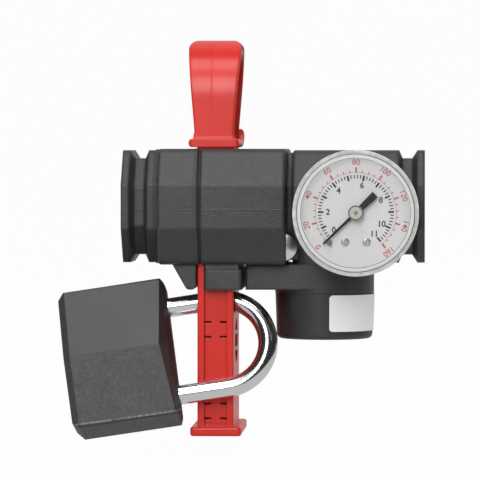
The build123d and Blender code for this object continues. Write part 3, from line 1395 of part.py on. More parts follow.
with BuildPart() as lock_cylinder:
    extrude(disc(lock_end(cylinder_right), CYLINDER_RADIUS), amount=cylinder_length)
    with BuildSketch(lock_end(cylinder_right)) as bible:
        with Locations((0, BIBLE_REACH / 2)):
            Rectangle(2 * BIBLE_HALF_WIDTH, BIBLE_REACH)
    extrude(bible.sketch, amount=cylinder_length)
    extrude(disc(lock_end(cylinder_right), PLUG_RADIUS + 0.05), amount=cylinder_length, mode=Mode.SUBTRACT)
    for place in pin_places:
        extrude(
            disc(pin_plane(place, PLUG_RADIUS - 1), PIN_RADIUS),
            amount=BIBLE_REACH - PLUG_RADIUS,
            mode=Mode.SUBTRACT,
        )
lock_cylinder.part.label = "lock_cylinder"
export_step(lock_cylinder.part, "parts/lock_cylinder.step")

with BuildPart() as lock_plug:
    extrude(disc(lock_end(cylinder_right + 0.5), PLUG_RADIUS), amount=cylinder_length + 0.3)
    with BuildSketch(lock_end(cylinder_right - 3)) as keyway:
        with Locations((0, PLUG_RADIUS - KEYWAY_HEIGHT / 2 - 0.8)):
            Rectangle(KEYWAY_WIDTH, KEYWAY_HEIGHT)
    extrude(keyway.sketch, amount=cylinder_length, mode=Mode.SUBTRACT)
    for place in pin_places:
        extrude(disc(pin_plane(place, 0), PIN_RADIUS), amount=PLUG_RADIUS, mode=Mode.SUBTRACT)
lock_plug.part.label = "lock_plug"
export_step(lock_plug.part, "parts/lock_plug.step")

with BuildPart() as key_pins:
    for number, place in enumerate(pin_places):
        reach = 0.4 + 0.35 * ((number * 3) % 5)
        extrude(disc(pin_plane(place, reach), PIN_RADIUS), amount=PLUG_RADIUS - 0.15 - reach)
key_pins.part.label = "key_pins"
export_step(key_pins.part, "parts/key_pins.step")

with BuildPart() as driver_pins:
    for place in pin_places:
        extrude(disc(pin_plane(place, PLUG_RADIUS + 0.15), PIN_RADIUS), amount=DRIVER_PIN_LENGTH)
driver_pins.part.label = "driver_pins"
export_step(driver_pins.part, "parts/driver_pins.step")

with BuildPart() as lock_cam:
    cam_minor = ball_rest - BALL_RADIUS - RUN_GAP
    cam_major = cam_minor + BALL_THROW
    with BuildSketch(lock_end(cylinder_right + 0.5 + CAM_LENGTH)) as cam_section:
        Ellipse(cam_major, cam_minor)
    extrude(cam_section.sketch, amount=CAM_LENGTH)
lock_cam.part.label = "lock_cam"
export_step(lock_cam.part, "parts/lock_cam.step")

for name, side in (("toe_ball", 1), ("heel_ball", -1)):
    with BuildPart() as ball:
        with Locations(Location(bow_centre + leg_direction * ball_x + across * side * ball_rest)):
            Sphere(BALL_RADIUS)
    ball.part.label = name
    export_step(ball.part, f"parts/{name}.step")
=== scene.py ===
"""Finishes, printed dial and studio for the modular lock-out slide valve with its padlock."""

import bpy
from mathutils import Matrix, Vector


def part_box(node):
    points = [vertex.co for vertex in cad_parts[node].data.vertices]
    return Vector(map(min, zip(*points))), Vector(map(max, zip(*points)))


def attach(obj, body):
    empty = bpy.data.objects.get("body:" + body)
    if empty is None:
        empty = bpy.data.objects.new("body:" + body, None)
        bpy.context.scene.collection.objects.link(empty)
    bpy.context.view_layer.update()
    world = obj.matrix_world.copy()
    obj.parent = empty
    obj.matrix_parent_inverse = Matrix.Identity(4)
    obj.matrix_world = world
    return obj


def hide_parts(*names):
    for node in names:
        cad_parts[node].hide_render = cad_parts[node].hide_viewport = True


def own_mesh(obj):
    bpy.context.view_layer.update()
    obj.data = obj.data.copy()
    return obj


bl_info = {
    "name": "Lockout Slide Valve Studio",
    "version": (1, 0, 0),
    "blender": (4, 5, 0),
    "location": "View3D > Sidebar > Lockout Valve",
    "description": "Dresses the packed lock-out slide valve and sets up its studio",
    "category": "Object",
}

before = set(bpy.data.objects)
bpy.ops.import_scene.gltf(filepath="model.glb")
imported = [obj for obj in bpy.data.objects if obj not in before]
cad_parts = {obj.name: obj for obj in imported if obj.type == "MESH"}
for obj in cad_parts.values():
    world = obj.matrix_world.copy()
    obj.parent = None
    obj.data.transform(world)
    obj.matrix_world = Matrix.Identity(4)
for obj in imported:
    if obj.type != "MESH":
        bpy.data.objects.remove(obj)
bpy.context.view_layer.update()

import math

import bmesh
import bpy
from bpy.props import FloatProperty, FloatVectorProperty, PointerProperty
from mathutils import Matrix, Vector

MM = 0.001


# ---------------------------------------------------------------- shader maths


class Signal:
    """A shader socket that takes part in plain arithmetic: each operation adds a Math node."""

    def __init__(self, shading, socket):
        self.shading = shading
        self.socket = socket

    def calculate(self, operation, *values, clamp=False):
        choices = {"operation": operation, "use_clamp": clamp}
        return self.shading.add("ShaderNodeMath", choices, dict(enumerate(values)))

    def __add__(self, other):
        return self.calculate("ADD", self, other)

    def __radd__(self, other):
        return self.calculate("ADD", other, self)

    def __sub__(self, other):
        return self.calculate("SUBTRACT", self, other)

    def __rsub__(self, other):
        return self.calculate("SUBTRACT", other, self)

    def __mul__(self, other):
        return self.calculate("MULTIPLY", self, other)

    def __rmul__(self, other):
        return self.calculate("MULTIPLY", other, self)

    def __neg__(self):
        return self.calculate("MULTIPLY", self, -1.0)

    def __abs__(self):
        return self.calculate("ABSOLUTE", self)

    def __gt__(self, other):
        return self.calculate("GREATER_THAN", self, other)

    def __lt__(self, other):
        return self.calculate("LESS_THAN", self, other)

    def clamped(self):
        return self.calculate("ADD", self, 0.0, clamp=True)

    def most(self, other):
        return self.calculate("MAXIMUM", self, other)

    def turn_from(self, other):
        """The angle in radians whose tangent is this signal over the other."""
        return self.calculate("ARCTAN2", self, other)


def reach(across, up):
    """The distance that two signals at right angles make."""
    return across.calculate("SQRT", across * across + up * up)


def between(signal, low, high):
    """1 where the signal lies between two numbers, else 0."""
    return (signal > low) * (signal < high)


def grey(level):
    """A neutral colour."""
    return (level, level, level)


# the first input and the output of a Mix node, for each kind of value
MIX_SOCKETS = {"FLOAT": (2, 0), "VECTOR": (4, 1), "RGBA": (6, 2)}


class Shading:
    """A node tree built node by node, which reads one kind of coordinates."""

    def __init__(self, tree, coordinates):
        self.tree = tree
        self.tree.nodes.clear()
        self.spot = self.add("ShaderNodeTexCoord", output=coordinates)

    def feed(self, socket, value):
        """Links a signal to a socket, or sets the socket to a number or a colour."""
        if isinstance(value, Signal):
            self.tree.links.new(value.socket, socket)
        elif isinstance(value, (tuple, list)) and len(value) == 3 and socket.type == "RGBA":
            socket.default_value = (*value, 1.0)
        else:
            socket.default_value = value

    def add(self, kind, choices=None, sockets=None, output=0):
        """Adds a node: its settings first, then its sockets, and gives back one of its outputs."""
        node = self.tree.nodes.new(kind)
        for name, value in (choices or {}).items():
            setattr(node, name, value)
        for name, value in (sockets or {}).items():
            self.feed(node.inputs[name], value)
        return Signal(self, node.outputs[output])

    def place(self, axis):
        """One coordinate of the point being shaded, in metres, or of the direction."""
        return self.add("ShaderNodeSeparateXYZ", None, {"Vector": self.spot}, output=axis)

    def ray(self, kind):
        """1 for a ray of one kind: Camera, Transmission or Glossy."""
        return self.add("ShaderNodeLightPath", output=f"Is {kind} Ray")

    def ramp(self, value, low, high):
        """A smooth step from 0 at one value to 1 at the other."""
        sockets = {"Value": value, "From Min": low, "From Max": high}
        return self.add("ShaderNodeMapRange", {"interpolation_type": "SMOOTHSTEP"}, sockets)

    def mix(self, mask, low, high, kind="FLOAT"):
        """A number between two, by a mask from 0 to 1, or so a VECTOR or an RGBA colour."""
        first, output = MIX_SOCKETS[kind]
        sockets = {0: mask, first: low, first + 1: high}
        return self.add("ShaderNodeMix", {"data_type": kind}, sockets, output)

    def blend(self, mask, low, high):
        """A colour between two, by a mask from 0 to 1."""
        return self.mix(mask, low, high, "RGBA")


class Finish(Shading):
    """A procedural material on Object coordinates."""

    def __init__(self, name, metallic=0.0, specular=0.5):
        self.material = bpy.data.materials.new(name)
        self.material.use_nodes = True
        super().__init__(self.material.node_tree, "Object")
        self.output = self.tree.nodes.new("ShaderNodeOutputMaterial")
        self.surface = self.tree.nodes.new("ShaderNodeBsdfPrincipled")
        self.tree.links.new(self.surface.outputs[0], self.output.inputs["Surface"])
        self.set("Metallic", metallic)
        self.set("Specular IOR Level", specular)

    def set(self, name, value):
        self.feed(self.surface.inputs[name], value)

    def noise(self, size, detail=3.0, roughness=0.55, distortion=0.0):
        """Noise from 0 to 1 whose blotches are about that many metres across."""
        sockets = {
            "Vector": self.spot,
            "Scale": 1.0 / size,
            "Detail": detail,
            "Roughness": roughness,
            "Distortion": distortion,
        }
        return self.add("ShaderNodeTexNoise", None, sockets)

    def rounded(self, radius):
        """The surface direction with its corners eased by that radius."""
        return self.add("ShaderNodeBevel", {"samples": 6}, {"Radius": radius})

    def relief(self, height, depth, base, strength):
        """Raises the surface by a height signal times a depth in metres."""
        sockets = {"Height": height, "Distance": depth, "Strength": strength, "Normal": base}
        return self.add("ShaderNodeBump", None, sockets)


# ---------------------------------------------------------------- settings


class BodySettings(bpy.types.PropertyGroup):
    """Colours and texture of the black valve bodies."""

    colour: FloatVectorProperty(
        name="Body colour",
        description="Base colour of the painted die-cast bodies",
        subtype="COLOR",
        size=3,
        min=0.0,
        max=1.0,
        default=(0.021, 0.021, 0.0215),
    )
    grain: FloatProperty(
        name="Grain size",
        description="Width of the casting's fine grain under the paint",
        subtype="DISTANCE",
        unit="LENGTH",
        default=0.00045,
    )
    edge: FloatProperty(
        name="Edge easing",
        description="Radius that eases the painted corners",
        subtype="DISTANCE",
        unit="LENGTH",
        default=0.0013,
    )


class SlideSettings(bpy.types.PropertyGroup):
    """Colour of the red slide."""

    colour: FloatVectorProperty(
        name="Slide colour",
        description="Base colour of the moulded slide",
        subtype="COLOR",
        size=3,
        min=0.0,
        max=1.0,
        default=(0.68, 0.015, 0.004),
    )
    roughness: FloatProperty(
        name="Slide roughness",
        description="Roughness of the moulded plastic",
        subtype="FACTOR",
        min=0.0,
        max=1.0,
        default=0.32,
    )


class LockSettings(bpy.types.PropertyGroup):
    """Colours of the padlock."""

    body_colour: FloatVectorProperty(
        name="Padlock colour",
        description="Base colour of the powder-coated padlock body",
        subtype="COLOR",
        size=3,
        min=0.0,
        max=1.0,
        default=(0.016, 0.016, 0.016),
    )
    chrome_roughness: FloatProperty(
        name="Chrome roughness",
        description="Roughness of the plated shackle",
        subtype="FACTOR",
        min=0.0,
        max=1.0,
        default=0.13,
    )


class GaugeSettings(bpy.types.PropertyGroup):
    """Sizes and colours of the printed dial."""

    paper_colour: FloatVectorProperty(
        name="Dial colour",
        description="Colour of the enamelled dial",
        subtype="COLOR",
        size=3,
        min=0.0,
        max=1.0,
        default=(0.62, 0.62, 0.62),
    )
    scale_radius: FloatProperty(
        name="Scale radius",
        description="Outer radius of the black scale",
        subtype="DISTANCE",
        unit="LENGTH",
        default=0.01205,
    )
    print_depth: FloatProperty(
        name="Print depth",
        description="How far the printing stands on the dial",
        subtype="DISTANCE",
        unit="LENGTH",
        default=0.00003,
    )


class StageSettings(bpy.types.PropertyGroup):
    """Camera, lamps and floor."""

    lens: FloatProperty(
        name="Lens",
        description="Focal length of the studio camera",
        subtype="DISTANCE_CAMERA",
        unit="CAMERA",
        default=275.0,
    )
    key_power: FloatProperty(
        name="Key power",
        description="Power of the large soft lamp over the front",
        subtype="POWER",
        unit="POWER",
        default=9.0,
    )
    floor_colour: FloatVectorProperty(
        name="Floor colour",
        description="Colour of the floor",
        subtype="COLOR",
        size=3,
        min=0.0,
        max=1.0,
        default=(0.48, 0.48, 0.48),
    )


SETTINGS = {
    "valve_body": BodySettings,
    "valve_slide": SlideSettings,
    "valve_lock": LockSettings,
    "valve_gauge": GaugeSettings,
    "valve_stage": StageSettings,
}


def settings(name):
    return getattr(bpy.context.scene, name)


# ---------------------------------------------------------------- places on the gauge

DIAL_THICKNESS = 0.6 * MM
STOP_PIN_ANGLE = 228.1  # degrees, anticlockwise from the right
STOP_PIN_PLACE = 12.6 * MM  # from the middle of the dial
STOP_PIN_RADIUS = 0.95 * MM


def gauge_middle():
    low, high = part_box("gauge_lens")
    return (low + high) / 2


def dial_face():
    """How far forward the face of the dial plate stands."""
    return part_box("gauge_dial")[1].y - DIAL_THICKNESS


def dial_spot(radius, angle, forward=0.0):
    """The point on the dial at a radius and an angle, anticlockwise from the right."""
    middle = gauge_middle()
    return Vector((
        middle.x + radius * math.cos(angle),
        dial_face() - forward,
        middle.z + radius * math.sin(angle),
    ))


def dial_turn(angle):
    """A turn about the gauge's axis, in radians, anticlockwise as seen from the front."""
    return Matrix.Rotation(-angle, 4, "Y")


def distance_from(finish, spot):
    """How far the point being shaded is from a spot, as seen from the front."""
    return reach(finish.place("X") - spot.x, finish.place("Z") - spot.z)


# ---------------------------------------------------------------- finishes

PARTING_HEIGHT = -0.9 * MM  # where the two halves of the casting mould met
PARTING_WIDTH = 0.3 * MM
PARTING_RISE = 0.35  # of the paint's relief
PAINT_RELIEF = 0.13 * MM

LOOP_HEIGHT = 32.0 * MM  # height of the finger loop, down from the top of the slide
LOOP_BLEND = 0.6  # share of that height over which the parting line fades
LOOP_EASE = 1.4 * MM
STEM_EASE = 0.5 * MM
SEAM_OFFSET = -0.8 * MM  # the loop's parting line, left of its middle
SEAM_WIDTH = 0.35 * MM
RED_RELIEF = 0.05 * MM

LOCK_TILT = 0.142  # rise of the padlock's ridge for each unit to the right
LOCK_RIDGE = (-45.8 * MM, -44.9 * MM)
LOCK_EDGE_HIGHLIGHT = (-68.1 * MM, -67.5 * MM)  # the lower front edge, where a thin highlight line is painted
COAT_RELIEF = 0.07 * MM

CAP_AXIS = 65.25 * MM  # how far along the bodies the cap stands
LABEL_MIDDLE = 63.0  # degrees to the right of the front
LABEL_SWEEP = 112.0
LABEL_CORNER = 1.1 * MM

HUB_RADIUS = 2.45 * MM
HUB_FACE = 1.95 * MM  # the hub's pale face, inside a ring of painted shade at its rim
SHAFT_END = 0.55 * MM
HUB_BRASS = (0.72, 0.6, 0.3)

WINDOW_RADIUS = 17.2 * MM  # edge of the lens's clear window
WINDOW_BLEND = 0.15 * MM
# a painted shadow line round the window's edge, for the shadow of the lens's inner step
WINDOW_SHADOW_LINE = (WINDOW_RADIUS - 0.05 * MM, WINDOW_RADIUS + 0.2 * MM)
RIM_STEP = 18.6 * MM  # where the rim of the lens steps back
# the painted dark line at the rim's step, for the black case seen through the clear rim
RIM_DARK_LINE = (RIM_STEP - 0.1 * MM, RIM_STEP + 0.15 * MM)


def painted_casting(name, colour, edge, grain, parting=None):
    """Satin black paint over a die casting: orange peel, flecks, a parting line, eased corners."""
    finish = Finish(name, specular=0.62)
    peel = finish.noise(grain, detail=2.0)
    swell = finish.noise(grain * 5, detail=2.0)
    cloud = finish.noise(12 * MM, detail=4.0)
    scuff = finish.noise(2.2 * MM, detail=6.0, roughness=0.7)
    fleck = finish.noise(grain * 1.6, detail=3.0, roughness=0.75)
    light = tuple(min(1.0, part * 1.5 + 0.004) for part in colour)
    pale = tuple(part * 3.2 + 0.02 for part in colour)
    coat = finish.blend((cloud * 1.5 - 0.25).clamped(), colour, light)
    finish.set("Base Color", finish.blend(finish.ramp(fleck, 0.58, 0.76), coat, pale))
    finish.set("Roughness", (0.44 + (scuff - 0.5) * 0.24 + (cloud - 0.5) * 0.12).clamped())
    height = peel + swell
    if parting is not None:
        away = finish.ramp(abs(finish.place("Z") - parting), 0.0, PARTING_WIDTH)
        height = height + (1.0 - away) * PARTING_RISE
    finish.set("Normal", finish.relief(height, PAINT_RELIEF, finish.rounded(edge), 0.9))
    return finish.material


def moulded_black():
    """Fine-grained black polymer of the screw cap."""
    finish = Finish("cap_polymer", specular=0.7)
    grain = finish.noise(0.22 * MM, detail=2.0)
    cloud = finish.noise(9 * MM)
    finish.set("Base Color", finish.blend(cloud, grey(0.012), grey(0.02)))
    finish.set("Roughness", 0.46 + (cloud - 0.5) * 0.16)
    finish.set("Normal", finish.relief(grain, 0.018 * MM, finish.rounded(0.3 * MM), 0.6))
    return finish.material


def moulded_red():
    """Glossy red acetal: faint flow marks, a well-rounded loop and the loop's parting line."""
    own = settings("valve_slide")
    low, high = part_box("lockout_slide")
    colour = tuple(own.colour)
    deep = (colour[0] * 0.84, colour[1] * 0.7, colour[2] * 0.7)
    finish = Finish("slide_acetal", specular=0.5)
    flow = finish.noise(14 * MM, detail=3.0, distortion=0.6)
    ripple = finish.noise(1.6 * MM, detail=2.0)
    finish.set("Base Color", finish.blend((flow * 1.4 - 0.2).clamped(), deep, colour))
    finish.set("Roughness", own.roughness + (ripple - 0.5) * 0.1)
    loop_bottom = high.z - LOOP_HEIGHT
    up = finish.place("Z")
    eased = finish.mix(
        up > loop_bottom, finish.rounded(STEM_EASE), finish.rounded(LOOP_EASE), "VECTOR"
    )
    middle = (low.x + high.x) / 2 + SEAM_OFFSET
    seam = finish.ramp(abs(finish.place("X") - middle), 0.0, SEAM_WIDTH) - 1.0
    on_loop = finish.ramp(up, loop_bottom, high.z - LOOP_HEIGHT * LOOP_BLEND)
    finish.set("Normal", finish.relief(ripple * 0.3 + seam * on_loop, RED_RELIEF, eased, 0.8))
    return finish.material


def chrome_plate():
    """Bright plating with faint drawing marks."""
    own = settings("valve_lock")
    finish = Finish("shackle_chrome", metallic=1.0)
    smear = finish.noise(6 * MM, detail=5.0)
    finish.set("Base Color", finish.blend(smear, grey(0.72), grey(0.82)))
    finish.set("Roughness", own.chrome_roughness + smear * 0.05)
    return finish.material


def bare_metal(name, colour, roughness):
    """Turned or stamped metal with an uneven tone."""
    finish = Finish(name, metallic=1.0)
    painted_rim_light = finish.noise(3.6 * MM, detail=4.0)
    marks = finish.noise(0.6 * MM, detail=2.0)
    dark = tuple(part * 0.82 for part in colour)
    finish.set("Base Color", finish.blend(painted_rim_light, dark, colour))
    finish.set("Roughness", roughness + (marks - 0.5) * 0.16)
    finish.set("Normal", finish.relief(marks, 0.006 * MM, finish.rounded(0.1 * MM), 0.5))
    return finish.material


def rubber():
    """Matt nitrile rubber."""
    finish = Finish("seal_nitrile", specular=0.3)
    bloom = finish.noise(3 * MM)
    finish.set("Base Color", finish.blend(bloom, grey(0.014), grey(0.024)))
    finish.set("Roughness", 0.7 + (bloom - 0.5) * 0.2)
    return finish.material


def powder_coat():
    """Powder coat on the padlock body: fine above its ridge and coarsely speckled below, with a
    painted highlight line along its lower front edge.
    """
    own = settings("valve_lock")
    finish = Finish("lock_powder_coat", specular=0.9)
    fine = finish.noise(0.5 * MM, detail=2.0, roughness=0.6)
    coarse = finish.noise(1.2 * MM, detail=3.0, roughness=0.7)
    cloud = finish.noise(11 * MM)
    climb = finish.place("Z") - finish.place("X") * LOCK_TILT
    below = 1.0 - finish.ramp(climb, *LOCK_RIDGE)
    colour = tuple(own.body_colour)
    light = tuple(part * 1.4 + 0.006 for part in colour)
    speckle = (coarse * 3.2 - 1.35).clamped() * below
    coat = finish.blend((fine * 0.6 + speckle * 0.8 - 0.15).clamped(), colour, light)
    # painted highlight: a light grey line along the lower front edge, broken up by the coarse
    # noise
    edge_highlight = between(climb, *LOCK_EDGE_HIGHLIGHT) * finish.ramp(coarse, 0.3, 0.6)
    finish.set("Base Color", finish.blend(edge_highlight, coat, grey(0.16)))
    finish.set("Roughness", 0.5 + (cloud - 0.5) * 0.12 + below * 0.1 - speckle * 0.12)
    height = fine * 0.5 + coarse * below * 1.6
    finish.set("Normal", finish.relief(height, COAT_RELIEF, finish.rounded(0.6 * MM), 0.8))
    return finish.material


def white_film():
    """The blank label on the cap, cut with rounded corners."""
    low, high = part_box("cap_label")
    finish = Finish("label_film", specular=0.6)
    cloud = finish.noise(8 * MM)
    finish.set("Base Color", finish.blend(cloud, grey(0.86), grey(0.9)))
    finish.set("Roughness", 0.36 + (cloud - 0.5) * 0.1)
    radius = high.x - CAP_AXIS
    half_width = math.radians(LABEL_SWEEP / 2) * radius
    half_height = (high.z - low.z) / 2
    turn = (finish.place("X") - CAP_AXIS).turn_from(-finish.place("Y"))
    along = abs(turn - math.radians(LABEL_MIDDLE)) * radius - (half_width - LABEL_CORNER)
    upward = abs(finish.place("Z") - (low.z + high.z) / 2) - (half_height - LABEL_CORNER)
    finish.set("Alpha", reach(along.most(0.0), upward.most(0.0)) < LABEL_CORNER)
    return finish.material


def dial_enamel():
    """White enamel on the dial plate, with the bare metal of its stop pin."""
    colour = tuple(settings("valve_gauge").paper_colour)
    finish = Finish("dial_enamel", specular=0.3)
    cloud = finish.noise(6 * MM)
    stop = dial_spot(STOP_PIN_PLACE, math.radians(STOP_PIN_ANGLE))
    pin = distance_from(finish, stop) < STOP_PIN_RADIUS
    paper = finish.blend(cloud, tuple(part * 0.97 for part in colour), colour)
    finish.set("Base Color", finish.blend(pin, paper, grey(0.2)))
    finish.set("Metallic", pin)
    finish.set("Roughness", 0.5 + (cloud - 0.5) * 0.08 - pin * 0.2)
    return finish.material


def dial_ink(name, colour):
    """Screen-printed ink with slightly uneven cover."""
    finish = Finish(name, specular=0.3)
    cover = finish.noise(0.4 * MM)
    lighter = tuple(min(1.0, part * 1.35 + 0.02) for part in colour)
    finish.set("Base Color", finish.blend(cover, colour, lighter))
    finish.set("Roughness", 0.5 + cover * 0.1)
    return finish.material


def pointer_paint():
    """Matt black pointer with a turned hub: a ring of painted shade at its rim, a pale face and a
    brass shaft end.
    """
    finish = Finish("pointer_paint", specular=0.15)
    radius = distance_from(finish, gauge_middle())
    hub = radius < HUB_RADIUS
    metal_and_shade = finish.blend(finish.noise(0.7 * MM), grey(0.46), grey(0.58))
    # painted shade: a dark ring round the hub's rim
    metal_and_shade = finish.blend(between(radius, HUB_FACE, HUB_RADIUS), metal_and_shade, grey(0.16))
    metal_and_shade = finish.blend(radius < SHAFT_END, metal_and_shade, HUB_BRASS)
    finish.set("Base Color", finish.blend(hub, grey(0.008), metal_and_shade))
    finish.set("Metallic", hub * 0.9)
    finish.set("Roughness", 0.5 - hub * 0.16)
    return finish.material


def clear_lens():
    """Clear polycarbonate: a window that is hardly seen, in a thick rim painted light grey with a
    highlight band, reflection streaks and a dark line at its step, and a painted shadow line round
    the window.
    """
    finish = Finish("lens_polycarbonate", specular=0.6)
    radius = distance_from(finish, gauge_middle())
    rim = finish.ramp(radius, WINDOW_RADIUS, WINDOW_RADIUS + WINDOW_BLEND)
    streak_and_reflection = finish.noise(2.4 * MM, detail=4.0)
    # painted reflections: the outer rim is light grey with streaks
    painted_rim_light = finish.blend((streak_and_reflection * 2.4 - 0.7).clamped(), grey(0.48), grey(0.72))
    # painted highlight: a flat light band inside the rim's step
    painted_rim_light = finish.blend(radius > RIM_DARK_LINE[1], grey(0.66), painted_rim_light)
    # painted dark line at the rim's step, for the black case seen through it
    painted_rim_light = finish.blend(between(radius, *RIM_DARK_LINE), painted_rim_light, grey(0.14))
    # painted shadow: a dark line round the window's edge
    painted_rim_light = finish.blend(between(radius, *WINDOW_SHADOW_LINE), painted_rim_light, grey(0.16))
    finish.set("Base Color", painted_rim_light)
    finish.set("Roughness", 0.04 + rim * (0.12 + streak_and_reflection * 0.14))
    finish.set("Alpha", 0.02 + rim * (0.74 + streak_and_reflection * 0.1))
    finish.set("Normal", finish.rounded(0.4 * MM))
    return finish.material


def dress(material, *nodes):
    """Gives CAD nodes a finish."""
    for name in nodes:
        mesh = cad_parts[name].data
        mesh.materials.clear()
        mesh.materials.append(material)


# ---------------------------------------------------------------- mesh helpers

MERGE_GAP = 0.0001 * MM


def show(thing):
    """Puts an object in the scene."""
    bpy.context.scene.collection.objects.link(thing)


def place_mesh(name, mesh, material, body):
    """Makes a mesh a piece that rides on a body."""
    mesh.materials.clear()
    mesh.materials.append(material)
    piece = bpy.data.objects.new(name, mesh)
    show(piece)
    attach(piece, body)
    return piece


def new_piece(name, shape, material, body):
    """Turns a bmesh into a piece that rides on a body."""
    mesh = bpy.data.meshes.new(name)
    bmesh.ops.recalc_face_normals(shape, faces=shape.faces[:])
    shape.to_mesh(mesh)
    shape.free()
    return place_mesh(name, mesh, material, body)


def merged_copy(node):
    """A bmesh of a CAD node with its loose triangles joined."""
    shape = bmesh.new()
    shape.from_mesh(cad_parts[node].data)
    bmesh.ops.remove_doubles(shape, verts=shape.verts[:], dist=MERGE_GAP)
    return shape


# ---------------------------------------------------------------- spring and pointer

POINTER_REST = 223.5  # degrees, anticlockwise from the right
POINTER_TIP = 6.0 * MM  # the blade is widened from here to its tip
POINTER_SPREAD = 0.2 * MM


def spring_piece(material):
    """The poppet's coil spring, copied into a piece of its own that rides on the valve body."""
    shape = merged_copy("poppet_spring")
    spring = new_piece("poppet_coil", shape, material, "valve")
    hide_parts("poppet_spring")
    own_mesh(spring)


def pointer_piece(material):
    """The pointer, pressed a little wider towards its tip than the plain blank."""
    middle = gauge_middle()
    angle = math.radians(POINTER_REST)
    along = Vector((math.cos(angle), 0, math.sin(angle)))
    across = Vector((-math.sin(angle), 0, math.cos(angle)))
    shape = merged_copy("gauge_pointer")
    tip = [vert for vert in shape.verts if (vert.co - middle).dot(along) > POINTER_TIP]
    for side in (1, -1):
        edge = [vert for vert in tip if (vert.co - middle).dot(across) * side > 0]
        bmesh.ops.translate(shape, vec=across * POINTER_SPREAD * side, verts=edge)
    pointer = new_piece("pointer_blade", shape, material, "needle")
    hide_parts("gauge_pointer")


# ---------------------------------------------------------------- dial printing

SCALE_ZERO = 229.3  # degrees, anticlockwise from the right
SCALE_END = -49.0
BAR_END = 11.0
BAR_STEPS = 55
BARS_TO_MAJOR = 5  # steps from one long tick to the next
PSI_PER_BAR = 14.5038
PSI_END = 160
PSI_STEPS = 32
PSIS_TO_MAJOR = 4
BAR_MAJOR = (1.8 * MM, 0.62 * MM)  # length and width of a tick
BAR_MINOR = (1.15 * MM, 0.34 * MM)
PSI_MAJOR = (1.65 * MM, 0.55 * MM)
PSI_MINOR = (0.75 * MM, 0.28 * MM)
ARC_GAP = 0.75 * MM  # thin line of the outer scale outside the inner one
ARC_WIDTH = 0.12 * MM
ARC_STEPS = 96
BAR_NUMBERS = (2, 4, 6, 8, 10, 11)
BAR_HEIGHT = 1.85 * MM
BAR_PLACE = 8.85 * MM
BAR_WEIGHT = 0.07 * MM
BAR_NOUGHT = 218.0  # degrees: the noughts stand clear of the stop pin
PSI_NUMBER_STEP = 20
PSI_HEIGHT = 1.8 * MM
PSI_PLACE = 16.0 * MM
PSI_WEIGHT = 0.02 * MM
PSI_NOUGHT = 222.3
FIGURE_SHARE = 0.7  # height of a figure for a text size of 1


def bar_angle(bar):
    return math.radians(SCALE_ZERO + (SCALE_END - SCALE_ZERO) * bar / BAR_END)


def tick(shape, radius, size, depth, angle):
    """Adds one printed tick whose outer end lies on a radius."""
    length, width = size
    made = bmesh.ops.create_cube(shape, size=1.0)["verts"]
    bmesh.ops.scale(shape, vec=(length, depth, width), verts=made)
    bmesh.ops.translate(shape, vec=(radius - length / 2, 0, 0), verts=made)
    bmesh.ops.transform(shape, matrix=dial_turn(angle), verts=made)
    bmesh.ops.translate(shape, vec=dial_spot(0.0, 0.0, depth / 2), verts=made)


def dial_ticks(radius, top, steps, steps_to_major, major, minor, outward, depth):
    """The ticks of one scale, from its first step to its top, which is given in bar."""
    shape = bmesh.new()
    for step in range(1, steps + 1):
        size = minor if step % steps_to_major else major
        tick(shape, radius + outward * size[0], size, depth, bar_angle(top * step / steps))
    return shape


def dial_arc(radius, width, depth, top):
    """A printed line that follows a radius from nought to a place given in bar."""
    centre = dial_spot(0.0, 0.0, depth / 2)
    start, end = bar_angle(0), bar_angle(top)
    shape = bmesh.new()
    edges = (radius - width / 2, radius + width / 2)
    ends = [shape.verts.new((place, 0, 0)) for place in edges]
    shape.edges.new(ends)
    bmesh.ops.rotate(shape, matrix=dial_turn(start), verts=ends)
    bmesh.ops.translate(shape, vec=centre, verts=ends)
    bmesh.ops.spin(
        shape,
        geom=shape.edges[:] + ends,
        cent=centre,
        axis=(0, 1, 0),
        angle=start - end,
        steps=ARC_STEPS,
        use_merge=False,
    )
    bmesh.ops.solidify(shape, geom=shape.faces[:], thickness=depth)
    return shape


def dial_text(name, words, height, weight, spot, turn, depth, material):
    """Printed characters centred on a spot of the dial."""
    curve = bpy.data.curves.new(name, "FONT")
    curve.body = words
    curve.align_x = "CENTER"
    curve.align_y = "CENTER"
    curve.size = height / FIGURE_SHARE
    curve.offset = weight
    curve.extrude = depth / 2
    curve.resolution_u = 3
    helper = bpy.data.objects.new(name, curve)
    show(helper)
    bpy.context.view_layer.update()
    mesh = bpy.data.meshes.new_from_object(helper)
    bpy.data.objects.remove(helper)
    bpy.data.curves.remove(curve)
    mesh.name = name
    stand = Matrix.Rotation(math.radians(90), 4, "X")
    mesh.transform(Matrix.Translation(spot) @ dial_turn(turn) @ stand)
    place_mesh(name, mesh, material, "valve")


# ---------------------------------------------------------------- port threads

PORT_RADIUS = 9.3 * MM
THREAD_PITCH = 1.814 * MM
THREAD_DEPTH = 0.85 * MM
THREAD_ROOT = 0.03 * MM  # how far the thread's root sits in the wall
THREAD_HALF = THREAD_PITCH * 0.47  # half the ridge's width at its root
THREAD_TURNS = 6
THREAD_STEPS = 48  # in each turn
THREAD_START = 1.2 * MM  # from the mouth of the port


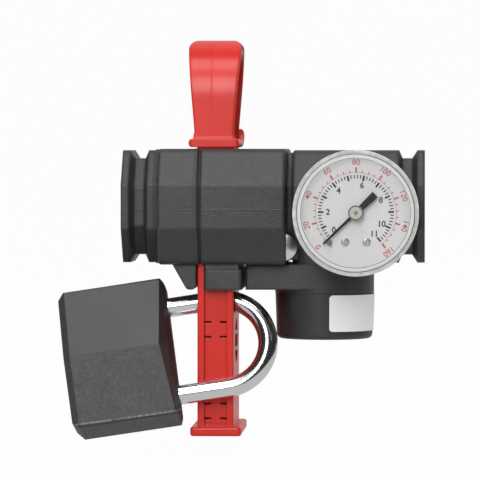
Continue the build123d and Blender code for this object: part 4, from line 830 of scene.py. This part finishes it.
def port_thread(mouth, inward):
    """A threaded ridge that winds into a port, from its mouth inward along the flow axis."""
    shape = bmesh.new()
    root = PORT_RADIUS + THREAD_ROOT
    start = mouth + inward * THREAD_START
    corners = (
        (start - THREAD_HALF, root),
        (start, PORT_RADIUS - THREAD_DEPTH),
        (start + THREAD_HALF, root),
    )
    ends = [shape.verts.new((along, 0, out)) for along, out in corners]
    sides = [shape.edges.new((ends[place], ends[place - 1])) for place in range(3)]
    bmesh.ops.spin(
        shape,
        geom=ends + sides,
        cent=(mouth, 0, 0),
        axis=(1, 0, 0),
        dvec=(inward * THREAD_PITCH / THREAD_STEPS, 0, 0),
        angle=math.radians(360 * THREAD_TURNS),
        steps=THREAD_STEPS * THREAD_TURNS,
        use_merge=False,
    )
    rims = [edge for edge in shape.edges if edge.is_boundary]
    bmesh.ops.holes_fill(shape, edges=rims, sides=3)
    return shape


# ---------------------------------------------------------------- stage

FLOOR_HEIGHT = -79.5 * MM
FLOOR_LEFT = -2.5
FLOOR_NEAR = -1.6
FLOOR_FAR = 1.2
FLOOR_WIDTH = 5.0
COVE_RADIUS = 0.6  # the floor curves up into the backdrop
COVE_STEPS = 16
BACKDROP_RISE = 1.6
FLOOR_GLOW = 0.975  # share of the floor's white that needs no lamp
FLOOR_GLOSS = 0.62  # how bright polished metal sees the floor

ROOM_DARK = 0.03
ROOM_BRIGHT = 0.8
AIR_LEVEL = 0.34
AIR_SIDES = 0.7  # share of that left at the far left and right
SHEET_NEAR = (0.7, 0.78)  # the bright overhead sheet, by how far up a direction points
SHEET_FAR = (0.97, 0.995)
SHEET_LEFT = (-0.45, -0.35)
SHEET_RIGHT = (0.08, 0.16)
BEHIND = (0.2, 0.7)  # the bright wall behind, by how far forward a direction points
SIDEWAYS = (0.3, 0.95)

LAMP_AIM = (0.04, 0, 0)
LAMPS = (  # name, spot, width and height, share of the key power
    ("key_lamp", (-0.15, -1.04, 0.47), (0.5, 0.66), 0.78),
    ("top_lamp", (0.0, -0.42, 1.02), (0.6, 0.5), 0.42),
    ("front_lamp", (0.3, -1.5, 0.35), (1.0, 0.5), 0.26),
    ("back_lamp", (0.2, 0.9, 0.7), (1.0, 0.6), 0.8),
    ("left_lamp", (-1.1, 0.25, 0.45), (0.6, 0.6), 0.4),
    ("right_lamp", (1.1, 0.25, 0.45), (0.6, 0.6), 0.4),
)
GLOSSY_LAMPS = ("key_lamp", "top_lamp")  # the lamps that polished surfaces see

CAMERA_SPOT = (0.0979, -1.2, 0.0186)
CAMERA_AIM = (0.0375, 0.0, -0.0112)
SENSOR_WIDTH = 36.0
CAMERA_NEAR = 0.05


def set_facing(thing, spot, aim):
    """Stands a lamp or a camera on a spot and points it at its aim."""
    thing.location = spot
    thing.rotation_euler = (Vector(aim) - Vector(spot)).to_track_quat("-Z", "Y").to_euler()
    show(thing)


def floor_shape():
    """One sheet: the floor, a cove and the backdrop."""
    shape = bmesh.new()
    near = shape.verts.new((FLOOR_LEFT, FLOOR_NEAR, FLOOR_HEIGHT))
    far = shape.verts.new((FLOOR_LEFT, FLOOR_FAR, FLOOR_HEIGHT))
    shape.edges.new((near, far))
    bend = bmesh.ops.spin(
        shape,
        geom=[far],
        cent=(FLOOR_LEFT, FLOOR_FAR, FLOOR_HEIGHT + COVE_RADIUS),
        axis=(1, 0, 0),
        angle=math.radians(90),
        steps=COVE_STEPS,
        use_merge=False,
    )
    top = [item for item in bend["geom_last"] if isinstance(item, bmesh.types.BMVert)]
    rise = bmesh.ops.extrude_vert_indiv(shape, verts=top)
    bmesh.ops.translate(shape, vec=(0, 0, BACKDROP_RISE), verts=rise["verts"])
    across = bmesh.ops.extrude_edge_only(shape, edges=shape.edges[:])
    moved = [item for item in across["geom"] if isinstance(item, bmesh.types.BMVert)]
    bmesh.ops.translate(shape, vec=(FLOOR_WIDTH, 0, 0), verts=moved)
    bmesh.ops.recalc_face_normals(shape, faces=shape.faces[:])
    return shape


def floor_finish(colour):
    """Pale floor that keeps its shadows and is white to the camera and to polished metal."""
    finish = Finish("studio_floor", specular=0.1)
    finish.set("Roughness", 0.9)
    finish.set("Base Color", colour)
    gloss_ray = finish.ray("Glossy")
    level = 1.0 - gloss_ray * (1.0 - FLOOR_GLOSS)
    glow = finish.add("ShaderNodeEmission", None, {"Color": grey(1.0), "Strength": level})
    share = finish.ray("Camera").most(finish.ray("Transmission")).most(gloss_ray) * FLOOR_GLOW
    surface = Signal(finish, finish.surface.outputs[0])
    mixed = finish.add("ShaderNodeMixShader", None, {0: share, 1: surface, 2: glow})
    finish.feed(finish.output.inputs["Surface"], mixed)
    return finish.material


def make_floor(own):
    mesh = bpy.data.meshes.new("studio_floor")
    shape = floor_shape()
    shape.to_mesh(mesh)
    shape.free()
    mesh.shade_smooth()
    mesh.materials.append(floor_finish(tuple(own.floor_colour)))
    floor = bpy.data.objects.new("studio_floor", mesh)
    show(floor)


def make_lamps(own):
    for name, spot, (width, height), share in LAMPS:
        light = bpy.data.lights.new(name, "AREA")
        light.shape = "RECTANGLE"
        light.size = width
        light.size_y = height
        light.energy = own.key_power * share
        lamp = bpy.data.objects.new(name, light)
        lamp.visible_glossy = name in GLOSSY_LAMPS
        lamp.visible_camera = False
        set_facing(lamp, spot, LAMP_AIM)


def make_world():
    """White to the camera, even to matt surfaces, and a dark room with bright sheets to gloss."""
    world = bpy.data.worlds.new("studio_world")
    bpy.context.scene.world = world
    world.use_nodes = True
    sky = Shading(world.node_tree, "Generated")
    right, forward, up = (sky.place(axis) for axis in "XYZ")
    overhead = sky.ramp(up, *SHEET_NEAR) * (1.0 - sky.ramp(up, *SHEET_FAR))
    strip = sky.ramp(right, *SHEET_LEFT) * (1.0 - sky.ramp(right, *SHEET_RIGHT))
    bright = (overhead * strip).most(sky.ramp(forward, *BEHIND))
    gloss = ROOM_DARK + bright * (ROOM_BRIGHT - ROOM_DARK)
    air = AIR_LEVEL * (1.0 - sky.ramp(abs(right), *SIDEWAYS) * (1.0 - AIR_SIDES))
    shown = sky.ray("Camera").most(sky.ray("Transmission"))
    level = sky.mix(shown, sky.mix(sky.ray("Glossy"), air, gloss), 1.0)
    glow = sky.add("ShaderNodeBackground", None, {"Color": grey(1.0), "Strength": level})
    output = sky.tree.nodes.new("ShaderNodeOutputWorld")
    sky.feed(output.inputs["Surface"], glow)


def make_camera(own):
    data = bpy.data.cameras.new("studio_camera")
    data.lens = own.lens
    data.sensor_width = SENSOR_WIDTH
    data.clip_start = CAMERA_NEAR
    camera = bpy.data.objects.new("studio_camera", data)
    set_facing(camera, CAMERA_SPOT, CAMERA_AIM)
    bpy.context.scene.camera = camera


# ---------------------------------------------------------------- operators


class VALVE_OT_finish_bodies(bpy.types.Operator):
    """Paint the three black body castings, finish what they hold and cut the port threads"""

    bl_idname = "valve.finish_bodies"
    bl_label = "Finish the bodies"

    def execute(self, context):
        own = settings("valve_body")
        paint = painted_casting(
            "body_paint", tuple(own.colour), own.edge, own.grain, PARTING_HEIGHT
        )
        dress(paint, "inlet_body", "valve_block", "soft_start_body")
        dress(moulded_black(), "bottom_cap")
        dress(white_film(), "cap_label")
        dress(rubber(), "slide_seals", "joint_seal", "cap_seal", "poppet_seal", "throttle_seal")
        zinc = bare_metal("zinc_plate", (0.52, 0.53, 0.55), 0.34)
        dress(zinc, "body_screws", "ledge_screws")
        inlet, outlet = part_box("inlet_body")[0].x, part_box("soft_start_body")[1].x
        new_piece("inlet_thread", port_thread(inlet, 1), zinc, "valve")
        new_piece("outlet_thread", port_thread(outlet, -1), zinc, "valve")
        dress(bare_metal("turned_brass", (0.62, 0.44, 0.19), 0.26), "soft_start_poppet")
        spring_piece(bare_metal("spring_wire", (0.6, 0.6, 0.61), 0.25))
        dress(dial_ink("seat_polymer", (0.7, 0.69, 0.66)), "seat_ring")
        dress(bare_metal("throttle_plate", (0.92, 0.92, 0.93), 0.34), "throttle_screw")
        return {"FINISHED"}


class VALVE_OT_finish_slide(bpy.types.Operator):
    """Give the slide its glossy red plastic"""

    bl_idname = "valve.finish_slide"
    bl_label = "Finish the slide"

    def execute(self, context):
        dress(moulded_red(), "lockout_slide")
        return {"FINISHED"}


class VALVE_OT_finish_padlock(bpy.types.Operator):
    """Finish the padlock's body, shackle and cylinder"""

    bl_idname = "valve.finish_padlock"
    bl_label = "Finish the padlock"

    def execute(self, context):
        dress(powder_coat(), "lock_body")
        dress(chrome_plate(), "shackle", "toe_ball", "heel_ball")
        brass = bare_metal("lock_brass", (0.6, 0.45, 0.2), 0.3)
        dress(brass, "lock_cylinder", "lock_plug", "lock_cam")
        dress(bare_metal("pin_nickel", (0.6, 0.58, 0.54), 0.24), "key_pins", "driver_pins")
        return {"FINISHED"}


class VALVE_OT_finish_gauge(bpy.types.Operator):
    """Finish the gauge's case, movement, dial, pointer and lens"""

    bl_idname = "valve.finish_gauge"
    bl_label = "Finish the gauge"

    def execute(self, context):
        dress(painted_casting("case_paint", grey(0.03), 0.2 * MM, 0.4 * MM), "gauge_case")
        brass = bare_metal("gauge_brass", (0.64, 0.47, 0.2), 0.24)
        dress(brass, "gauge_socket", "bourdon_tube", "movement_plates", "sector_gear")
        dress(brass, "gauge_link", "pointer_shaft", "hairspring")
        dress(dial_enamel(), "gauge_dial")
        dress(bare_metal("screw_nickel", (0.62, 0.62, 0.58), 0.3), "dial_screws")
        pointer_piece(pointer_paint())
        dress(clear_lens(), "gauge_lens")
        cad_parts["gauge_lens"].visible_shadow = False
        return {"FINISHED"}


class VALVE_OT_print_dial(bpy.types.Operator):
    """Print the two scales and their numbers on the dial"""

    bl_idname = "valve.print_dial"
    bl_label = "Print the dial"

    def execute(self, context):
        own = settings("valve_gauge")
        depth = own.print_depth
        black = dial_ink("ink_black", (0.02, 0.02, 0.024))
        red = dial_ink("ink_red", (0.4, 0.06, 0.055))
        radius = own.scale_radius
        arc = radius + ARC_GAP
        top = PSI_END / PSI_PER_BAR
        bars = dial_ticks(
            radius, BAR_END, BAR_STEPS, BARS_TO_MAJOR, BAR_MAJOR, BAR_MINOR, 0, depth
        )
        new_piece("bar_ticks", bars, black, "valve")
        psis = dial_ticks(arc, top, PSI_STEPS, PSIS_TO_MAJOR, PSI_MAJOR, PSI_MINOR, 1, depth)
        new_piece("psi_ticks", psis, red, "valve")
        new_piece("psi_arc", dial_arc(arc, ARC_WIDTH, depth, top), red, "valve")
        for bar in (0, *BAR_NUMBERS):
            angle = bar_angle(bar) if bar else math.radians(BAR_NOUGHT)
            spot = dial_spot(BAR_PLACE, angle, depth / 2)
            dial_text(f"bar_{bar}", str(bar), BAR_HEIGHT, BAR_WEIGHT, spot, 0.0, depth, black)
        for psi in range(0, PSI_END + 1, PSI_NUMBER_STEP):
            angle = bar_angle(psi / PSI_PER_BAR) if psi else math.radians(PSI_NOUGHT)
            spot = dial_spot(PSI_PLACE, angle, depth / 2)
            turn = angle - math.radians(90)
            dial_text(f"psi_{psi}", str(psi), PSI_HEIGHT, PSI_WEIGHT, spot, turn, depth, red)
        return {"FINISHED"}


class VALVE_OT_set_stage(bpy.types.Operator):
    """Set the floor, the lamps, the surroundings and the camera"""

    bl_idname = "valve.set_stage"
    bl_label = "Set the stage"

    def execute(self, context):
        own = settings("valve_stage")
        make_floor(own)
        make_lamps(own)
        make_world()
        make_camera(own)
        context.scene.view_settings.view_transform = "Standard"
        return {"FINISHED"}


STEPS = (
    VALVE_OT_finish_bodies,
    VALVE_OT_finish_slide,
    VALVE_OT_finish_padlock,
    VALVE_OT_finish_gauge,
    VALVE_OT_print_dial,
    VALVE_OT_set_stage,
)


class VALVE_PT_sidebar(bpy.types.Panel):
    """Sizes, colours and steps of the lock-out valve"""

    bl_label = "Lockout Valve"
    bl_idname = "VALVE_PT_sidebar"
    bl_space_type = "VIEW_3D"
    bl_region_type = "UI"
    bl_category = "Lockout Valve"

    def draw(self, context):
        for name, group in SETTINGS.items():
            column = self.layout.column(align=True)
            for field in group.__annotations__:
                column.prop(getattr(context.scene, name), field)
        for step in STEPS:
            self.layout.operator(step.bl_idname)


CLASSES = (*SETTINGS.values(), *STEPS, VALVE_PT_sidebar)


def register():
    for made in CLASSES:
        bpy.utils.register_class(made)
    for name, group in SETTINGS.items():
        setattr(bpy.types.Scene, name, PointerProperty(type=group))


def unregister():
    for name in SETTINGS:
        delattr(bpy.types.Scene, name)
    for made in reversed(CLASSES):
        bpy.utils.unregister_class(made)


def main():
    register()
    for step in STEPS:
        group, name = step.bl_idname.split(".")
        getattr(getattr(bpy.ops, group), name)()


if __name__ == "__main__":
    main()
